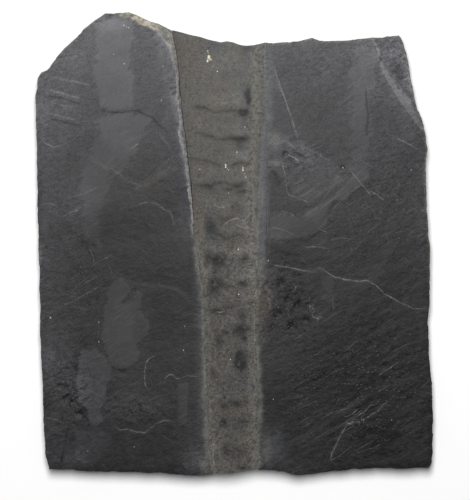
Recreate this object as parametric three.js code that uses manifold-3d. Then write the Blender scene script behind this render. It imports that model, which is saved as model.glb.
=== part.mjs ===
// Orthoceras fossil: the straight chambered shell of a nautiloid, lying full length in a broken
// plate of dark slate that is split along its bedding. Both ends of the shell are cut off by the
// plate's own broken edges. Millimetres, +Z up. The plate lies flat on its underside, +Y runs
// along the shell from its narrow end to its wide end, and the origin is on the underside,
// below the middle of the plate.

import * as THREE from 'three';
import { mergeVertices } from 'three/addons/utils/BufferGeometryUtils.js';
import Module from 'manifold-3d';

const wasm = await Module();
wasm.setup();

// Driving dimensions. The outline and the features below are points on the plate seen from above.
const PLATE_THICKNESS = 12; // up to the middle of the split face
const SWELL_HEIGHT = 0.45; // how much the split face undulates
const EDGE_STEP = 1.6; // furthest that one broken bed stands behind another at the rim
const BED_TOPS = [9.4, 6.1, 2.8]; // where the rim breaks from one bed to the next
const BED_LEDGE = 0.45; // height lost across each of those ledges
const BED_LEAN = 0.25; // each bed's foot stands this far behind its top
const BED_BREAK_CHANCE = 0.38; // how often along the rim a bed's edge steps in or out
const SHELL_CROWN = 2.3; // the shell's back above the split face, at its wide end
const SHELL_KEEL = 4.4; // the shell's reach below the split face, at its wide end
const SHELL_EDGE_DROP = 0.5; // the shell's rim below the slate beside it
const SEAT_GAP = 0.3; // between the shell and the slate all round
const SUTURE_DEPTH = 0.55; // grooves where the chamber walls meet the shell
const SUTURE_WIDTH = 2.4;
const SUTURE_SAG = 0.9; // the middle of each suture hangs this far towards the narrow end
const LIP_HEIGHT = 1.3; // slate turned up along the shell's west side
const LIP_WIDTH = 4.2;
const LIP_SOUTH_END = 1; // where the lip has faded out
const LIP_FADE = 30;
const LIP_ROOT = 1.2; // the lip's own solid reaches this far into the plate

// How finely the split face and the shell are divided.
const COLUMNS = 35;
const ROWS = 40;
const BACK_POINTS = 10;
const KEEL_POINTS = 5;
const LIP_STATIONS = 22;

// Margins used by the cutting solids, so that no cut ends flush with a face.
const CLEAR_ABOVE = 20;
const CLEAR_PAST_END = 6;

// The plate's broken outline, one list for each side.
const SOUTH_SIDE = [
  [-79.5, -97.5], [-61.5, -97.5], [-48.5, -98], [-36, -98], [-26.5, -98.5], [-20.5, -99.5],
  [-15, -99.5], [-10, -99], [-5, -98.5], [-0.5, -98], [4.5, -97], [9.5, -96.5], [16, -96.5],
  [21, -97.5], [25, -99], [28.5, -99.5], [34, -98.5], [40.5, -97.5], [47, -96.5], [53, -96],
  [61.5, -95.5], [66.5, -95.5], [70.5, -96.5], [76, -96.5], [83.5, -97],
];
const EAST_SIDE = [
  [83.5, -97], [85, -94.5], [85.5, -88.5], [85.5, -71.5], [85, -59.5], [84, -46.5],
  [83.5, -39], [83.5, -32.5], [84, -26], [84, -4.5], [83.5, 9.5], [82.5, 19], [82.5, 34],
  [83.5, 40.5], [82.5, 47.5], [80.5, 54], [77.5, 62.5], [76.5, 69], [75.5, 75], [74.5, 81.5],
  [73, 86], [71, 89.5],
];
const NORTH_SIDE = [
  [-84.5, 71], [-82, 74], [-79.5, 74.5], [-77, 78], [-73, 84], [-68, 88], [-65, 92],
  [-60.5, 95.5], [-55.5, 99], [-52, 99], [-48.5, 99.5], [-45.5, 99.5], [-42, 98.5],
  [-37.5, 96.5], [-32.5, 94.5], [-27, 92], [-21.5, 90.5], [-16, 89], [-11, 87.5],
  [-6.5, 86.5], [-3.5, 87.5], [-1, 87], [1.5, 85.5], [5.5, 85], [10, 85.5], [13, 86.5],
  [19.5, 86.5], [27.5, 87], [33.5, 88.5], [37, 87.5], [41.5, 87.5], [50, 87.5], [60.5, 88.5],
  [71, 89.5],
];
const WEST_SIDE = [
  [-79.5, -97.5], [-81, -90.5], [-81.5, -80], [-82, -58.5], [-83, -37], [-83.5, -11],
  [-84.5, 12.5], [-84.5, 27.5], [-85, 51], [-85.5, 63.5], [-84.5, 67], [-84.5, 71],
];

// The shell's two margins, and where the chamber walls meet its back.
const SHELL_WEST = [
  [-9.5, -98.5], [-10.5, -88.5], [-11.5, -80], [-11.5, -67], [-12, -58.5], [-13, -45.5],
  [-13, -28.5], [-14, -17.5], [-16, -4.5], [-17, 1.5], [-17.5, 11], [-18.5, 25.5],
  [-20, 38.5], [-22.5, 59], [-24, 75.5], [-25, 82.5], [-27, 92],
];
const SHELL_EAST = [
  [10.5, -96.5], [10, -80], [10, -50], [9, -37], [10, -15.5], [9.5, -2.5], [9.5, 19],
  [10, 34], [11.5, 47], [12.5, 62], [13, 75], [13, 86.5],
];
const SUTURES = [
  -87.7, -77.8, -68.4, -58.1, -47.7, -37.8, -28.8, -18.5, -7.7, 3.4, 14.2, 24.9, 35.7, 45.6, 57.2,
];

// Broad dips in the split face: centre, reach along X and Y, turn in degrees, depth.
const HOLLOWS = [
  { at: [31, 31], reach: [17, 12], turn: 10, depth: 0.9 },
  { at: [-38, -45], reach: [9, 22], turn: -8, depth: 0.5 },
  { at: [24, -26], reach: [10, 18], turn: 0, depth: 0.7 },
  { at: [-70, -62], reach: [8, 16], turn: 0, depth: 0.8 },
];

// Scars where flakes of slate have come away. Each is cut between two edges, and its depths are
// given from the first edge to the second.
const BASIN_NORTH = [
  [-65, 49], [-59.5, 57], [-53, 56.5], [-48.5, 56], [-44, 57], [-40, 56.5], [-36, 54.5], [-32.5, 51],
  [-29, 48], [-25, 44.5],
];
const BASIN_SOUTH = [
  [-65, 43], [-60, 36], [-54.5, 32.5], [-51, 31.5], [-47.5, 28], [-44, 26], [-40, 26], [-35.5, 30],
  [-30, 34.5], [-25.5, 38.5],
];
const WEST_ARC = [
  [-42.5, 16.5], [-39, 17.5], [-35, 17.5], [-32, 16], [-28.5, 14], [-26.5, 11], [-25.5, 7.5],
];
const FAR_WEST_ARC = [[-73.5, 1.5], [-68, 3], [-65, 1], [-62, -3], [-60.5, -8]];
const MIDDLE_RIDGE = [
  [-45.5, -16], [-40, -17.5], [-33, -18], [-27, -19], [-22, -21.5], [-17.5, -26],
];
const SOUTH_THREAD = [
  [-51.5, -78.5], [-46, -79.5], [-39, -81.5], [-35.5, -78], [-30, -76], [-25, -76.5],
];
const EAST_VEIN = [
  [14.5, -8.5], [25.5, -10.5], [33.5, -12.5], [38, -11.5], [43, -14.5], [50, -16.5],
  [56, -16], [61, -18.5], [66, -22.5], [73, -26.5], [79, -29], [84.5, -27.5],
];
const SOUTH_EAST_CURVE = [
  [64.5, -69], [59, -73.5], [54, -76.5], [49, -78], [46, -83], [43, -88.5], [40, -95],
];
const CORNER_CREASE = [
  [58, 89.5], [60.5, 83.5], [66.5, 73.5], [72, 65], [76.5, 57.5], [80, 49], [84, 42],
];
const CRYSTAL_EDGE = [
  [-56.5, 96.5], [-50, 96.6], [-44.5, 96.4], [-39, 93.6], [-33, 91.2], [-27.5, 88.6],
];

const TRENCH_EAST_WALL = [[14.6, 84], [14.8, 66], [14.3, 48], [13.8, 30], [13.9, 10], [14.4, -8]];
const TRENCH_WEST_WALL = [[11, 84], [10.5, 66], [9.5, 48], [8, 30], [7.5, 10], [8, -8]];

const SCARS = [
  { edge: BASIN_NORTH, far: BASIN_SOUTH, depths: [0.85, 0.5, 0.65] },
  { edge: TRENCH_EAST_WALL, far: TRENCH_WEST_WALL, depths: [0.3, 0.6] },
  { edge: WEST_ARC, shift: [5, 9], depths: [0.5, 0.25, -0.3] },
  { edge: FAR_WEST_ARC, shift: [-4, -12], depths: [0.6, 0.3, -0.3] },
  { edge: MIDDLE_RIDGE, shift: [1, 7], depths: [0.55, 0.3, -0.3] },
  { edge: SOUTH_THREAD, shift: [-1, 6], depths: [0.5, 0.2, -0.3] },
  { edge: EAST_VEIN, shift: [2, 9], depths: [0.6, 0.3, -0.3] },
  { edge: SOUTH_EAST_CURVE, shift: [-7, 2], depths: [0.5, 0.2, -0.3] },
  { edge: CORNER_CREASE, shift: [17, 9], depths: [-0.2, 1.3, 3.6] },
  { edge: CRYSTAL_EDGE, shift: [2.6, 7], depths: [-0.1, 2.4, 4.6] },
];

// Small pits and sockets in the face: middle, radius, depth.
const PITS = [
  { at: [-71.8, -67], radius: 2.6, depth: 1.3 },
  { at: [-74.3, -61.5], radius: 1.8, depth: 0.9 },
  { at: [-66, -73.5], radius: 2.2, depth: 1 },
  { at: [20, -17], radius: 1.9, depth: 0.9 },
  { at: [18.5, -30], radius: 2.4, depth: 1.1 },
  { at: [27, -26], radius: 1.7, depth: 0.8 },
  { at: [24.5, -36], radius: 2.6, depth: 0.9 },
  { at: [30.5, -33], radius: 1.6, depth: 0.7 },
  { at: [22.5, 39.5], radius: 1.8, depth: 0.8 },
];

// A small repeatable random number source.
function seeded(seed) {
  let state = seed;
  return () => {
    state = (state * 16807) % 2147483647;
    return state / 2147483647;
  };
}

// The first number of a [across, along] list, read off at a given place along the list.
function acrossAt(points, along) {
  const last = points.length - 1;
  let i = 0;
  while (i < last - 1 && points[i + 1][1] < along) i += 1;
  const [x0, y0] = points[i];
  const [x1, y1] = points[i + 1];
  return THREE.MathUtils.mapLinear(along, y0, y1, x0, x1);
}

// The plate's north or south side, read off at a given x.
function sideAt(side, x) {
  return acrossAt(side.map(([a, b]) => [b, a]), x);
}

// Height of the split slate face, before anything is broken out of it.
function faceHeight(x, y) {
  let height = PLATE_THICKNESS;
  height += SWELL_HEIGHT * Math.sin(x / 27 + y / 70 + 0.6) * Math.cos(y / 33 - x / 95);
  height += 0.5 * SWELL_HEIGHT * Math.sin(y / 11 - x / 34 + 2.1) * Math.cos(x / 19 + 0.4);
  for (const { at, reach, turn, depth } of HOLLOWS) {
    const angle = THREE.MathUtils.degToRad(turn);
    const dx = x - at[0];
    const dy = y - at[1];
    const along = (dx * Math.cos(angle) + dy * Math.sin(angle)) / reach[0];
    const across = (dy * Math.cos(angle) - dx * Math.sin(angle)) / reach[1];
    height -= depth * Math.exp(-(along * along + across * across));
  }
  return height;
}

// Adds points to a side, always halfway along its longest stretch, until it has enough.
function divideSide(side, stretches) {
  const points = side.map(([x, y]) => new THREE.Vector2(x, y));
  while (points.length <= stretches) {
    let longest = 0;
    for (let i = 1; i + 1 < points.length; i += 1) {
      const length = points[i].distanceTo(points[i + 1]);
      if (length > points[longest].distanceTo(points[longest + 1])) longest = i;
    }
    const middle = points[longest].clone().lerp(points[longest + 1], 0.5);
    points.splice(longest + 1, 0, middle);
  }
  return points;
}

// How far each point of the rim stands behind the outline in each bed. The beds break away in
// short runs, and the furthest bed always reaches the outline.
function bedSetbacks(count) {
  const random = seeded(41);
  const beds = [...BED_TOPS, 0].map(() => {
    const setbacks = [];
    let current = EDGE_STEP * random();
    for (let i = 0; i < count; i += 1) {
      if (random() < BED_BREAK_CHANCE) current = EDGE_STEP * random() ** 1.6;
      setbacks.push(current);
    }
    return setbacks;
  });
  for (let i = 0; i < count; i += 1) {
    const least = Math.min(...beds.map((bed) => bed[i]));
    for (const bed of beds) bed[i] -= least;
  }
  return beds;
}

// Turns a list of points and a list of triangles into a three.js geometry.
function geometryFrom(points, faces) {
  const geometry = new THREE.BufferGeometry().setFromPoints(points);
  geometry.setIndex(faces.flat());
  return geometry;
}

// Walls between two rings of points that start at the given indices.
function wallFaces(upper, lower, count) {
  const faces = [];
  for (let i = 0; i < count; i += 1) {
    const j = (i + 1) % count;
    faces.push([upper + i, lower + i, lower + j], [upper + i, lower + j, upper + j]);
  }
  return faces;
}

// The plate before anything is cut out of it: a gridded face, a rim of broken beds, a flat base.
function platePlain() {
  const south = divideSide(SOUTH_SIDE, COLUMNS);
  const north = divideSide(NORTH_SIDE, COLUMNS);
  const west = divideSide(WEST_SIDE, ROWS);
  const east = divideSide(EAST_SIDE, ROWS);
  const rim = [
    ...south.slice(0, -1),
    ...east.slice(0, -1),
    ...north.slice(1).reverse(),
    ...west.slice(1).reverse(),
  ];
  const count = rim.length;
  const inward = rim.map((point, i) => {
    const before = rim[(i + count - 1) % count];
    const after = rim[(i + 1) % count];
    return new THREE.Vector2(before.y - after.y, after.x - before.x).normalize();
  });
  const beds = bedSetbacks(count);
  const setBackPoint = (i, amount) => rim[i].clone().addScaledVector(inward[i], amount);

  // Each bed gives the rim two rings: one at its top and one at its foot.
  const levels = [null, ...BED_TOPS, 0];
  const points = [];
  beds.forEach((bed, b) => {
    for (let i = 0; i < count; i += 1) {
      const { x, y } = setBackPoint(i, bed[i]);
      points.push(new THREE.Vector3(x, y, b === 0 ? faceHeight(x, y) : levels[b] - BED_LEDGE));
    }
    for (let i = 0; i < count; i += 1) {
      const { x, y } = setBackPoint(i, bed[i] + BED_LEAN);
      points.push(new THREE.Vector3(x, y, levels[b + 1]));
    }
  });
  const faces = [];
  for (let ring = 0; ring + 1 < 2 * beds.length; ring += 1) {
    faces.push(...wallFaces(ring * count, (ring + 1) * count, count));
  }

  // The face: its inner points are blended from the four sides.
  const inner = (column, row) => {
    const u = column / COLUMNS;
    const v = row / ROWS;
    const corners = [south[0], south[COLUMNS], north[0], north[COLUMNS]];
    const weights = [(1 - u) * (1 - v), u * (1 - v), (1 - u) * v, u * v];
    const place = new THREE.Vector2();
    place.addScaledVector(south[column], 1 - v).addScaledVector(north[column], v);
    place.addScaledVector(west[row], 1 - u).addScaledVector(east[row], u);
    corners.forEach((corner, k) => place.addScaledVector(corner, -weights[k]));
    return new THREE.Vector3(place.x, place.y, faceHeight(place.x, place.y));
  };
  const firstInner = points.length;
  for (let row = 1; row < ROWS; row += 1) {
    for (let column = 1; column < COLUMNS; column += 1) points.push(inner(column, row));
  }
  const indexOf = (column, row) => {
    if (row === 0) return column;
    if (column === COLUMNS) return COLUMNS + row;
    if (row === ROWS) return COLUMNS + ROWS + (COLUMNS - column);
    if (column === 0) return 2 * COLUMNS + ROWS + (ROWS - row);
    return firstInner + (row - 1) * (COLUMNS - 1) + (column - 1);
  };
  for (let row = 0; row < ROWS; row += 1) {
    for (let column = 0; column < COLUMNS; column += 1) {
      const a = indexOf(column, row);
      const b = indexOf(column + 1, row);
      const c = indexOf(column + 1, row + 1);
      const d = indexOf(column, row + 1);
      if ((row + column) % 2) faces.push([a, b, c], [a, c, d]);
      else faces.push([a, b, d], [b, c, d]);
    }
  }

  // The base: the lowest ring, closed flat.
  const lowest = (2 * beds.length - 1) * count;
  const base = points.slice(lowest, lowest + count).map(({ x, y }) => new THREE.Vector2(x, y));
  for (const [a, b, c] of THREE.ShapeUtils.triangulateShape(base, [])) {
    faces.push([lowest + a, lowest + c, lowest + b]);
  }
  return geometryFrom(points, faces);
}

// A skin through equal rings of points, closed at both ends. Each ring's points are also given
// flat, as they are seen along the skin, so that its end caps can be divided.
function loft(rings, flatten) {
  const count = rings[0].length;
  const faces = [];
  for (let ring = 0; ring + 1 < rings.length; ring += 1) {
    faces.push(...wallFaces(ring * count, (ring + 1) * count, count));
  }
  const last = (rings.length - 1) * count;
  for (const [a, b, c] of THREE.ShapeUtils.triangulateShape(rings[0].map(flatten), [])) {
    faces.push([a, b, c]);
  }
  for (const [a, b, c] of THREE.ShapeUtils.triangulateShape(rings.at(-1).map(flatten), [])) {
    faces.push([last + a, last + c, last + b]);
  }
  return geometryFrom(rings.flat(), faces);
}

// A three.js geometry as a solid that can be joined and cut.
function solidFrom(geometry) {
  const bare = geometry.clone();
  bare.deleteAttribute('normal');
  bare.deleteAttribute('uv');
  const merged = mergeVertices(bare, 1e-4);
  const vertProperties = new Float32Array(merged.attributes.position.array);
  const triVerts = new Uint32Array(merged.index.array);
  return new wasm.Manifold(new wasm.Mesh({ numProp: 3, vertProperties, triVerts }));
}

// A finished solid as a three.js geometry again.
function geometryOf(solid) {
  const { vertProperties, triVerts } = solid.getMesh();
  const geometry = new THREE.BufferGeometry();
  geometry.setAttribute('position', new THREE.BufferAttribute(vertProperties, 3));
  geometry.setIndex(new THREE.BufferAttribute(triVerts, 1));
  geometry.computeVertexNormals();
  return geometry;
}

// What a lost flake took with it: a slab-sided solid between two edges, open upwards.
function scarSolid({ edge, far, shift, depths }) {
  const stations = edge.map(([x, y], i) => {
    const fullness = Math.sin((Math.PI * (i + 0.5)) / edge.length) ** 0.7;
    const end = far ? far[i] : [x + shift[0] * fullness, y + shift[1] * fullness];
    return { start: new THREE.Vector2(x, y), end: new THREE.Vector2(...end), fullness };
  });
  const heading = stations.at(-1).start.clone().sub(stations[0].start);
  const middle = stations[Math.floor(stations.length / 2)];
  if (heading.cross(middle.end.clone().sub(middle.start)) > 0) stations.reverse();
  const steps = depths.length - 1;
  const rings = stations.map(({ start, end, fullness }) => {
    const floor = depths.map((depth, k) => {
      const { x, y } = start.clone().lerp(end, k / steps);
      const faded = depth > 0 ? depth * fullness : depth;
      return new THREE.Vector3(x, y, faceHeight(x, y) - faded);
    });
    const lid = [steps, 0].map((k) => new THREE.Vector3(floor[k].x, floor[k].y, CLEAR_ABOVE));
    return [...floor, ...lid];
  });
  const across = [...depths.keys(), steps, 0];
  return solidFrom(loft(rings, (point, k) => new THREE.Vector2(across[k], point.z)));
}

function pitSolid({ at, radius, depth }) {
  const geometry = new THREE.IcosahedronGeometry(1, 0);
  geometry.rotateZ(at[0]);
  geometry.scale(radius, radius * 1.3, depth);
  geometry.translate(at[0], at[1], faceHeight(...at));
  return solidFrom(geometry);
}

// The slate turned up beside the shell: a ridge that fades out towards the narrow end.
function lipSolid() {
  const northEnd = SHELL_WEST.at(-1)[1] - 1.5;
  const rings = [];
  for (let i = 0; i <= LIP_STATIONS; i += 1) {
    const y = THREE.MathUtils.lerp(LIP_SOUTH_END, northEnd, i / LIP_STATIONS);
    const margin = acrossAt(SHELL_WEST, y);
    const face = faceHeight(margin, y);
    const growth = THREE.MathUtils.smoothstep(y, LIP_SOUTH_END, LIP_SOUTH_END + LIP_FADE);
    const rise = LIP_HEIGHT * growth * (1 - 0.25 * Math.sin(y / 5));
    rings.push([
      new THREE.Vector3(margin - LIP_WIDTH, y, face - LIP_ROOT),
      new THREE.Vector3(margin + 1, y, face - LIP_ROOT),
      new THREE.Vector3(margin + 1, y, face + 0.8 * rise),
      new THREE.Vector3(margin - 1, y, face + rise),
      new THREE.Vector3(margin - 0.45 * LIP_WIDTH, y, face + 0.35 * rise),
    ]);
  }
  return solidFrom(loft(rings, (point) => new THREE.Vector2(point.x, point.z)));
}

// One ring of the shell, across it from margin to margin. The ring's place along the shell is
// given for each x, and groove is the share of a suture's depth that is cut into its back.
function shellRing(y, placeAt, groove, gap, lid) {
  const west = acrossAt(SHELL_WEST, y) - gap;
  const east = acrossAt(SHELL_EAST, y) + gap;
  const half = (east - west) / 2;
  const fullness = 0.45 + 0.55 * (half / 20);
  const rim = faceHeight((west + east) / 2, y) - SHELL_EDGE_DROP;
  const point = (across, z) => {
    const x = west + half * (1 + across);
    return new THREE.Vector3(x, placeAt(x, across), z);
  };
  const ring = [point(-1, rim)];
  for (let k = 1; k <= KEEL_POINTS; k += 1) {
    const angle = (Math.PI * k) / (KEEL_POINTS + 1);
    ring.push(point(-Math.cos(angle), rim - gap - SHELL_KEEL * fullness * Math.sin(angle)));
  }
  ring.push(point(1, rim));
  if (lid) {
    ring.push(point(1, CLEAR_ABOVE), point(-1, CLEAR_ABOVE));
    return ring;
  }
  for (let k = 1; k <= BACK_POINTS; k += 1) {
    const across = Math.cos((Math.PI * k) / (BACK_POINTS + 1));
    const arch = (1 - Math.abs(across) ** 2.4) ** 0.7;
    const cut = groove * SUTURE_DEPTH * (1 - across ** 6);
    ring.push(point(across, rim + (SHELL_CROWN + SHELL_EDGE_DROP) * fullness * arch - cut));
  }
  return ring;
}

const sag = (across) => SUTURE_SAG * (1 - across * across);
const seenFromSouth = (point) => new THREE.Vector2(point.x, point.z);

// The shell: a tapering lens in section, ringed by sutures, ending in the plate's broken edges.
function shellSolid() {
  const rows = [{ y: -94, groove: 0 }];
  SUTURES.forEach((y, i) => {
    const next = SUTURES[i + 1] ?? y + 11;
    rows.push({ y: y - SUTURE_WIDTH / 2, groove: 0.1 });
    rows.push({ y, groove: 1 });
    rows.push({ y: y + SUTURE_WIDTH / 2, groove: 0.1 });
    rows.push({ y: (y + next) / 2, groove: -0.25 });
  });
  for (let y = 70; y <= 82; y += 6) rows.push({ y, groove: 0 });
  const rings = rows.map(({ y, groove }) => {
    return shellRing(y, (x, across) => y - sag(across), groove, 0, false);
  });
  const southEnd = shellRing(-97, (x) => sideAt(SOUTH_SIDE, x) + SEAT_GAP, 0, 0, false);
  const northEnd = shellRing(87, (x) => sideAt(NORTH_SIDE, x) - SEAT_GAP, 0, 0, false);
  return solidFrom(loft([southEnd, ...rings, northEnd], seenFromSouth));
}

// The seat that the shell fills, with its gap, open upwards and past both ends of the plate.
function seatSolid() {
  const places = [-98.5 - CLEAR_PAST_END, -97, ...SUTURES, 63, 69, 75, 81, 87, 92 + CLEAR_PAST_END];
  const rings = places.map((y) => shellRing(y, () => y, 0, SEAT_GAP, true));
  return solidFrom(loft(rings, seenFromSouth));
}

function plateSolid() {
  let plate = solidFrom(platePlain());
  plate = plate.add(lipSolid());
  for (const scar of SCARS) plate = plate.subtract(scarSolid(scar));
  for (const pit of PITS) plate = plate.subtract(pitSolid(pit));
  return plate.subtract(seatSolid());
}

const slate = new THREE.MeshStandardMaterial({ color: 0x3b3d41, roughness: 0.62, metalness: 0 });
const fossil = new THREE.MeshStandardMaterial({ color: 0x5a5850, roughness: 0.7, metalness: 0 });

const slateSlab = new THREE.Mesh(geometryOf(plateSolid()), slate);
slateSlab.name = 'slate_slab';

const orthoceras = new THREE.Mesh(geometryOf(shellSolid()), fossil);
orthoceras.name = 'orthoceras';

const specimen = new THREE.Group();
specimen.add(slateSlab, orthoceras);

export default specimen;
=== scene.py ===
# %% [markdown]
# # An orthoceras fossil in a slate plate
# A straight nautiloid shell lies full length in a broken plate of dark slate. The measured model
# has the two pieces that matter: the slate and the shell in its seat. This lesson gives both a fine
# surface. The method is the same for each: make a dense net of points over the form, push the
# points up and down with named marks and seeded noise, then paint soft masks on the points and let
# the material turn the masks into colour, shine and grain.

# %% Load the measured model
import math

import bpy
import numpy as np
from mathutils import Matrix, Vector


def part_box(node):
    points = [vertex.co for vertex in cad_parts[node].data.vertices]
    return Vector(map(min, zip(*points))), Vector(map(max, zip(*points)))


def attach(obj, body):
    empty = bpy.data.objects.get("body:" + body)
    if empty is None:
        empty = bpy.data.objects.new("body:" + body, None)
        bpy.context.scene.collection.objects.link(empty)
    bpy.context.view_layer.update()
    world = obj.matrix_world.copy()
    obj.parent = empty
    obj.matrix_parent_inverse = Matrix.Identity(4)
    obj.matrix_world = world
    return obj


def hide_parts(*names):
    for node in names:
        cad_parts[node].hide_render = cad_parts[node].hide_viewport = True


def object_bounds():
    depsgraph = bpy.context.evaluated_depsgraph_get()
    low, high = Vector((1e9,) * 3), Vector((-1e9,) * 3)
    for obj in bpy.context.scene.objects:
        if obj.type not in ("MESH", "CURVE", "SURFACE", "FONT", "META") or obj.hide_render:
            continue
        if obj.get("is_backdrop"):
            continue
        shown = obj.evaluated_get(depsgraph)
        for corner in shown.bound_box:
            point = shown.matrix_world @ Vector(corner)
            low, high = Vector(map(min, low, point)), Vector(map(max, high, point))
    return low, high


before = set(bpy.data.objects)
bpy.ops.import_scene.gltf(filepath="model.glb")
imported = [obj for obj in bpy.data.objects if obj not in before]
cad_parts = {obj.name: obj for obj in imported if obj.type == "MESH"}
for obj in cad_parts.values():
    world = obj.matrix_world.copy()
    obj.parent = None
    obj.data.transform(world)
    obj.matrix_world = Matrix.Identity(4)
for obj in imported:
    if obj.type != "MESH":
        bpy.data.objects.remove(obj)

cad_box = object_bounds()
MM = 0.001
slab_low, slab_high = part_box("slate_slab")
shell_low, shell_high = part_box("orthoceras")
print("plate:", [round(v / MM, 1) for v in slab_high - slab_low], "mm")
print("shell:", [round(v / MM, 1) for v in shell_high - shell_low], "mm")

# %% [markdown]
# ## The camera
# The plate lies on its back and is looked at from straight above, so the camera needs no turning:
# a new camera already looks down its own -Z. A long lens from far off keeps the plate's sides from
# showing. The lens follows from the distance and from the span that the picture should take in.

# %% Place the camera
PLATE_THICKNESS = 12.0
PICTURE_SPAN = 215.0
CAMERA_DISTANCE = 820.0
AIM = (0.4, -2.9)


def place_camera():
    """A camera straight above the plate, aimed a little off its middle."""
    data = bpy.data.cameras.new("camera")
    data.sensor_width = 36.0
    data.lens = data.sensor_width * CAMERA_DISTANCE / PICTURE_SPAN
    camera = bpy.data.objects.new("camera", data)
    camera.location = (AIM[0] * MM, AIM[1] * MM, (PLATE_THICKNESS + CAMERA_DISTANCE) * MM)
    bpy.context.scene.collection.objects.link(camera)
    bpy.context.scene.camera = camera
    return camera


camera = place_camera()
print("lens:", round(camera.data.lens, 1), "mm at", CAMERA_DISTANCE, "mm")

# %% [markdown]
# ## The plate's plan
# Broken slate has no formula, so its outline and the shell's two margins are short lists of points
# in millimetres, as seen from above. They are the same points that the measured model was cut to.

# %% Outline and margins
SOUTH_SIDE = [
    (-79.5, -97.3), (-70, -97.6), (-61.5, -98.2), (-48.5, -98.6), (-36, -98.7), (-26.5, -99.1), (-20.5, -99.9),
    (-15, -99.9), (-10, -99.5), (-5, -99.3), (-0.5, -99), (4.5, -97.9), (9.5, -97.3), (15, -97.9),
    (21, -98.2), (25, -99.6), (28.5, -99.9), (34, -99.3), (40.5, -98.4), (47, -97.7), (53, -97.2),
    (61.5, -96.8), (66.5, -96.8), (70.5, -97.3), (76, -96.8), (83.5, -96.9),
]
EAST_SIDE = [
    (83.5, -96.9), (85, -94.5), (85.5, -88.5), (85.5, -71.5), (85, -59.5), (84, -46.5),
    (83.5, -39), (83.5, -32.5), (84.3, -26), (84.3, -4.5), (83.5, 9.5), (82.8, 14.5), (83, 19.5), (82.6, 34),
    (83.5, 40.5), (82.5, 47.5), (80.5, 54), (77.5, 62.5), (76.5, 69), (75.5, 75), (74.5, 81.5),
    (73, 86), (71, 89.8),
]
NORTH_SIDE = [
    (-84.5, 71), (-83, 73.6), (-80.3, 74.8), (-77.8, 78.2), (-73, 84), (-68, 88), (-65, 92),
    (-60.5, 95.5), (-55.5, 99), (-52, 99), (-48.5, 99.5), (-45.5, 99.5), (-42, 98.5),
    (-37.5, 96.5), (-32.5, 94.5), (-27, 92), (-21.5, 90.5), (-16, 89), (-11, 87.5),
    (-6.5, 86.3), (-3.5, 86.9), (-1, 86.4), (1.5, 85.4), (5.5, 85), (10, 85.5), (13, 86.5),
    (19.5, 86.5), (27.5, 87), (33.5, 88.5), (37, 87.3), (41.5, 87.2), (46, 87.3), (50, 87.5), (60.5, 88.6),
    (71, 89.8),
]
WEST_SIDE = [
    (-79.5, -97.3), (-81, -90.5), (-81.9, -80), (-82.5, -58.5), (-83.5, -37), (-83.7, -9),
    (-84.5, 12.5), (-84.5, 27.5), (-85, 51), (-85.5, 63.5), (-84.5, 67), (-84.5, 71),
]
SHELL_WEST = [
    (-9.5, -98.5), (-10.5, -88.5), (-11.5, -80), (-11.5, -67), (-12, -58.5), (-13, -45.5),
    (-13, -28.5), (-14, -17.5), (-16, -4.5), (-17, 1.5), (-17.5, 11), (-18.5, 25.5),
    (-20.2, 38.5), (-22.8, 59), (-24.1, 75.5), (-25, 82.5), (-27, 92),
]
SHELL_EAST = [
    (10.5, -96.5), (10, -80), (10, -50), (9, -37), (10, -15.5), (9.5, -2.5), (9.5, 19),
    (10, 34), (11.5, 47), (12.5, 62), (13, 75), (13, 86.5),
]
outline_x = [x for side in (SOUTH_SIDE, EAST_SIDE, NORTH_SIDE, WEST_SIDE) for x, _ in side]
print("outline across:", min(outline_x), "to", max(outline_x), "mm")

# %% [markdown]
# ## Noise and lines, as plain functions
# Two tools make all the relief. The first is smooth noise: random numbers on a net, blended
# between its knots, and added up at finer and finer sizes for roughness. The second measures how
# far each point lies from a drawn line, and on which side. A ledge, a crack or a ridge is then only
# a rule about that distance. Every random number comes from a seed, so each run gives the same rock.

# %% Smooth and rough noise
NOISE_NET = 128


def smooth_noise(x, y, size, seed):
    """Random values from 0 to 1, in lumps about size across."""
    net = np.random.default_rng(seed).random((NOISE_NET, NOISE_NET))
    u, v = np.asarray(x) / size, np.asarray(y) / size
    i, j = np.floor(u).astype(int), np.floor(v).astype(int)
    fu, fv = u - i, v - j
    fu, fv = fu * fu * (3 - 2 * fu), fv * fv * (3 - 2 * fv)
    i0, i1, j0, j1 = i % NOISE_NET, (i + 1) % NOISE_NET, j % NOISE_NET, (j + 1) % NOISE_NET
    low = net[i0, j0] * (1 - fu) + net[i1, j0] * fu
    high = net[i0, j1] * (1 - fu) + net[i1, j1] * fu
    return low * (1 - fv) + high * fv


def rough_noise(x, y, size, seed, octaves=4, gain=0.5):
    """Noise with finer lumps on coarser ones, about -1 to 1."""
    total, weight = 0.0, 0.0
    for k in range(octaves):
        total = total + gain**k * (smooth_noise(x, y, size / 2**k, seed + 17 * k) - 0.5)
        weight += 0.5 * gain**k
    return total / weight


def turned(x, y, degrees, stretch=1.0):
    """The same places in turned axes, drawn out along the first one."""
    a = math.radians(degrees)
    return (x * math.cos(a) + y * math.sin(a)) / stretch, y * math.cos(a) - x * math.sin(a)


def ramp(value, low, high):
    """0 below low, 1 above high, and smooth between them."""
    t = np.clip((value - low) / (high - low), 0, 1)
    return t * t * (3 - 2 * t)


# %% Lines and the distance from them
def evenly(points, count=None, step=1.0, at=None):
    """The points of a line respaced, by their number, their step or their shares of its length."""
    points = np.array(points, float)
    lengths = np.concatenate([[0], np.cumsum(np.hypot(*np.diff(points, axis=0).T))])
    if at is None:
        count = count or max(2, int(lengths[-1] / step))
        at = np.linspace(0, 1, count + 1)
    places = np.asarray(at) * lengths[-1]
    return np.column_stack([np.interp(places, lengths, points[:, k]) for k in (0, 1)])


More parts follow.
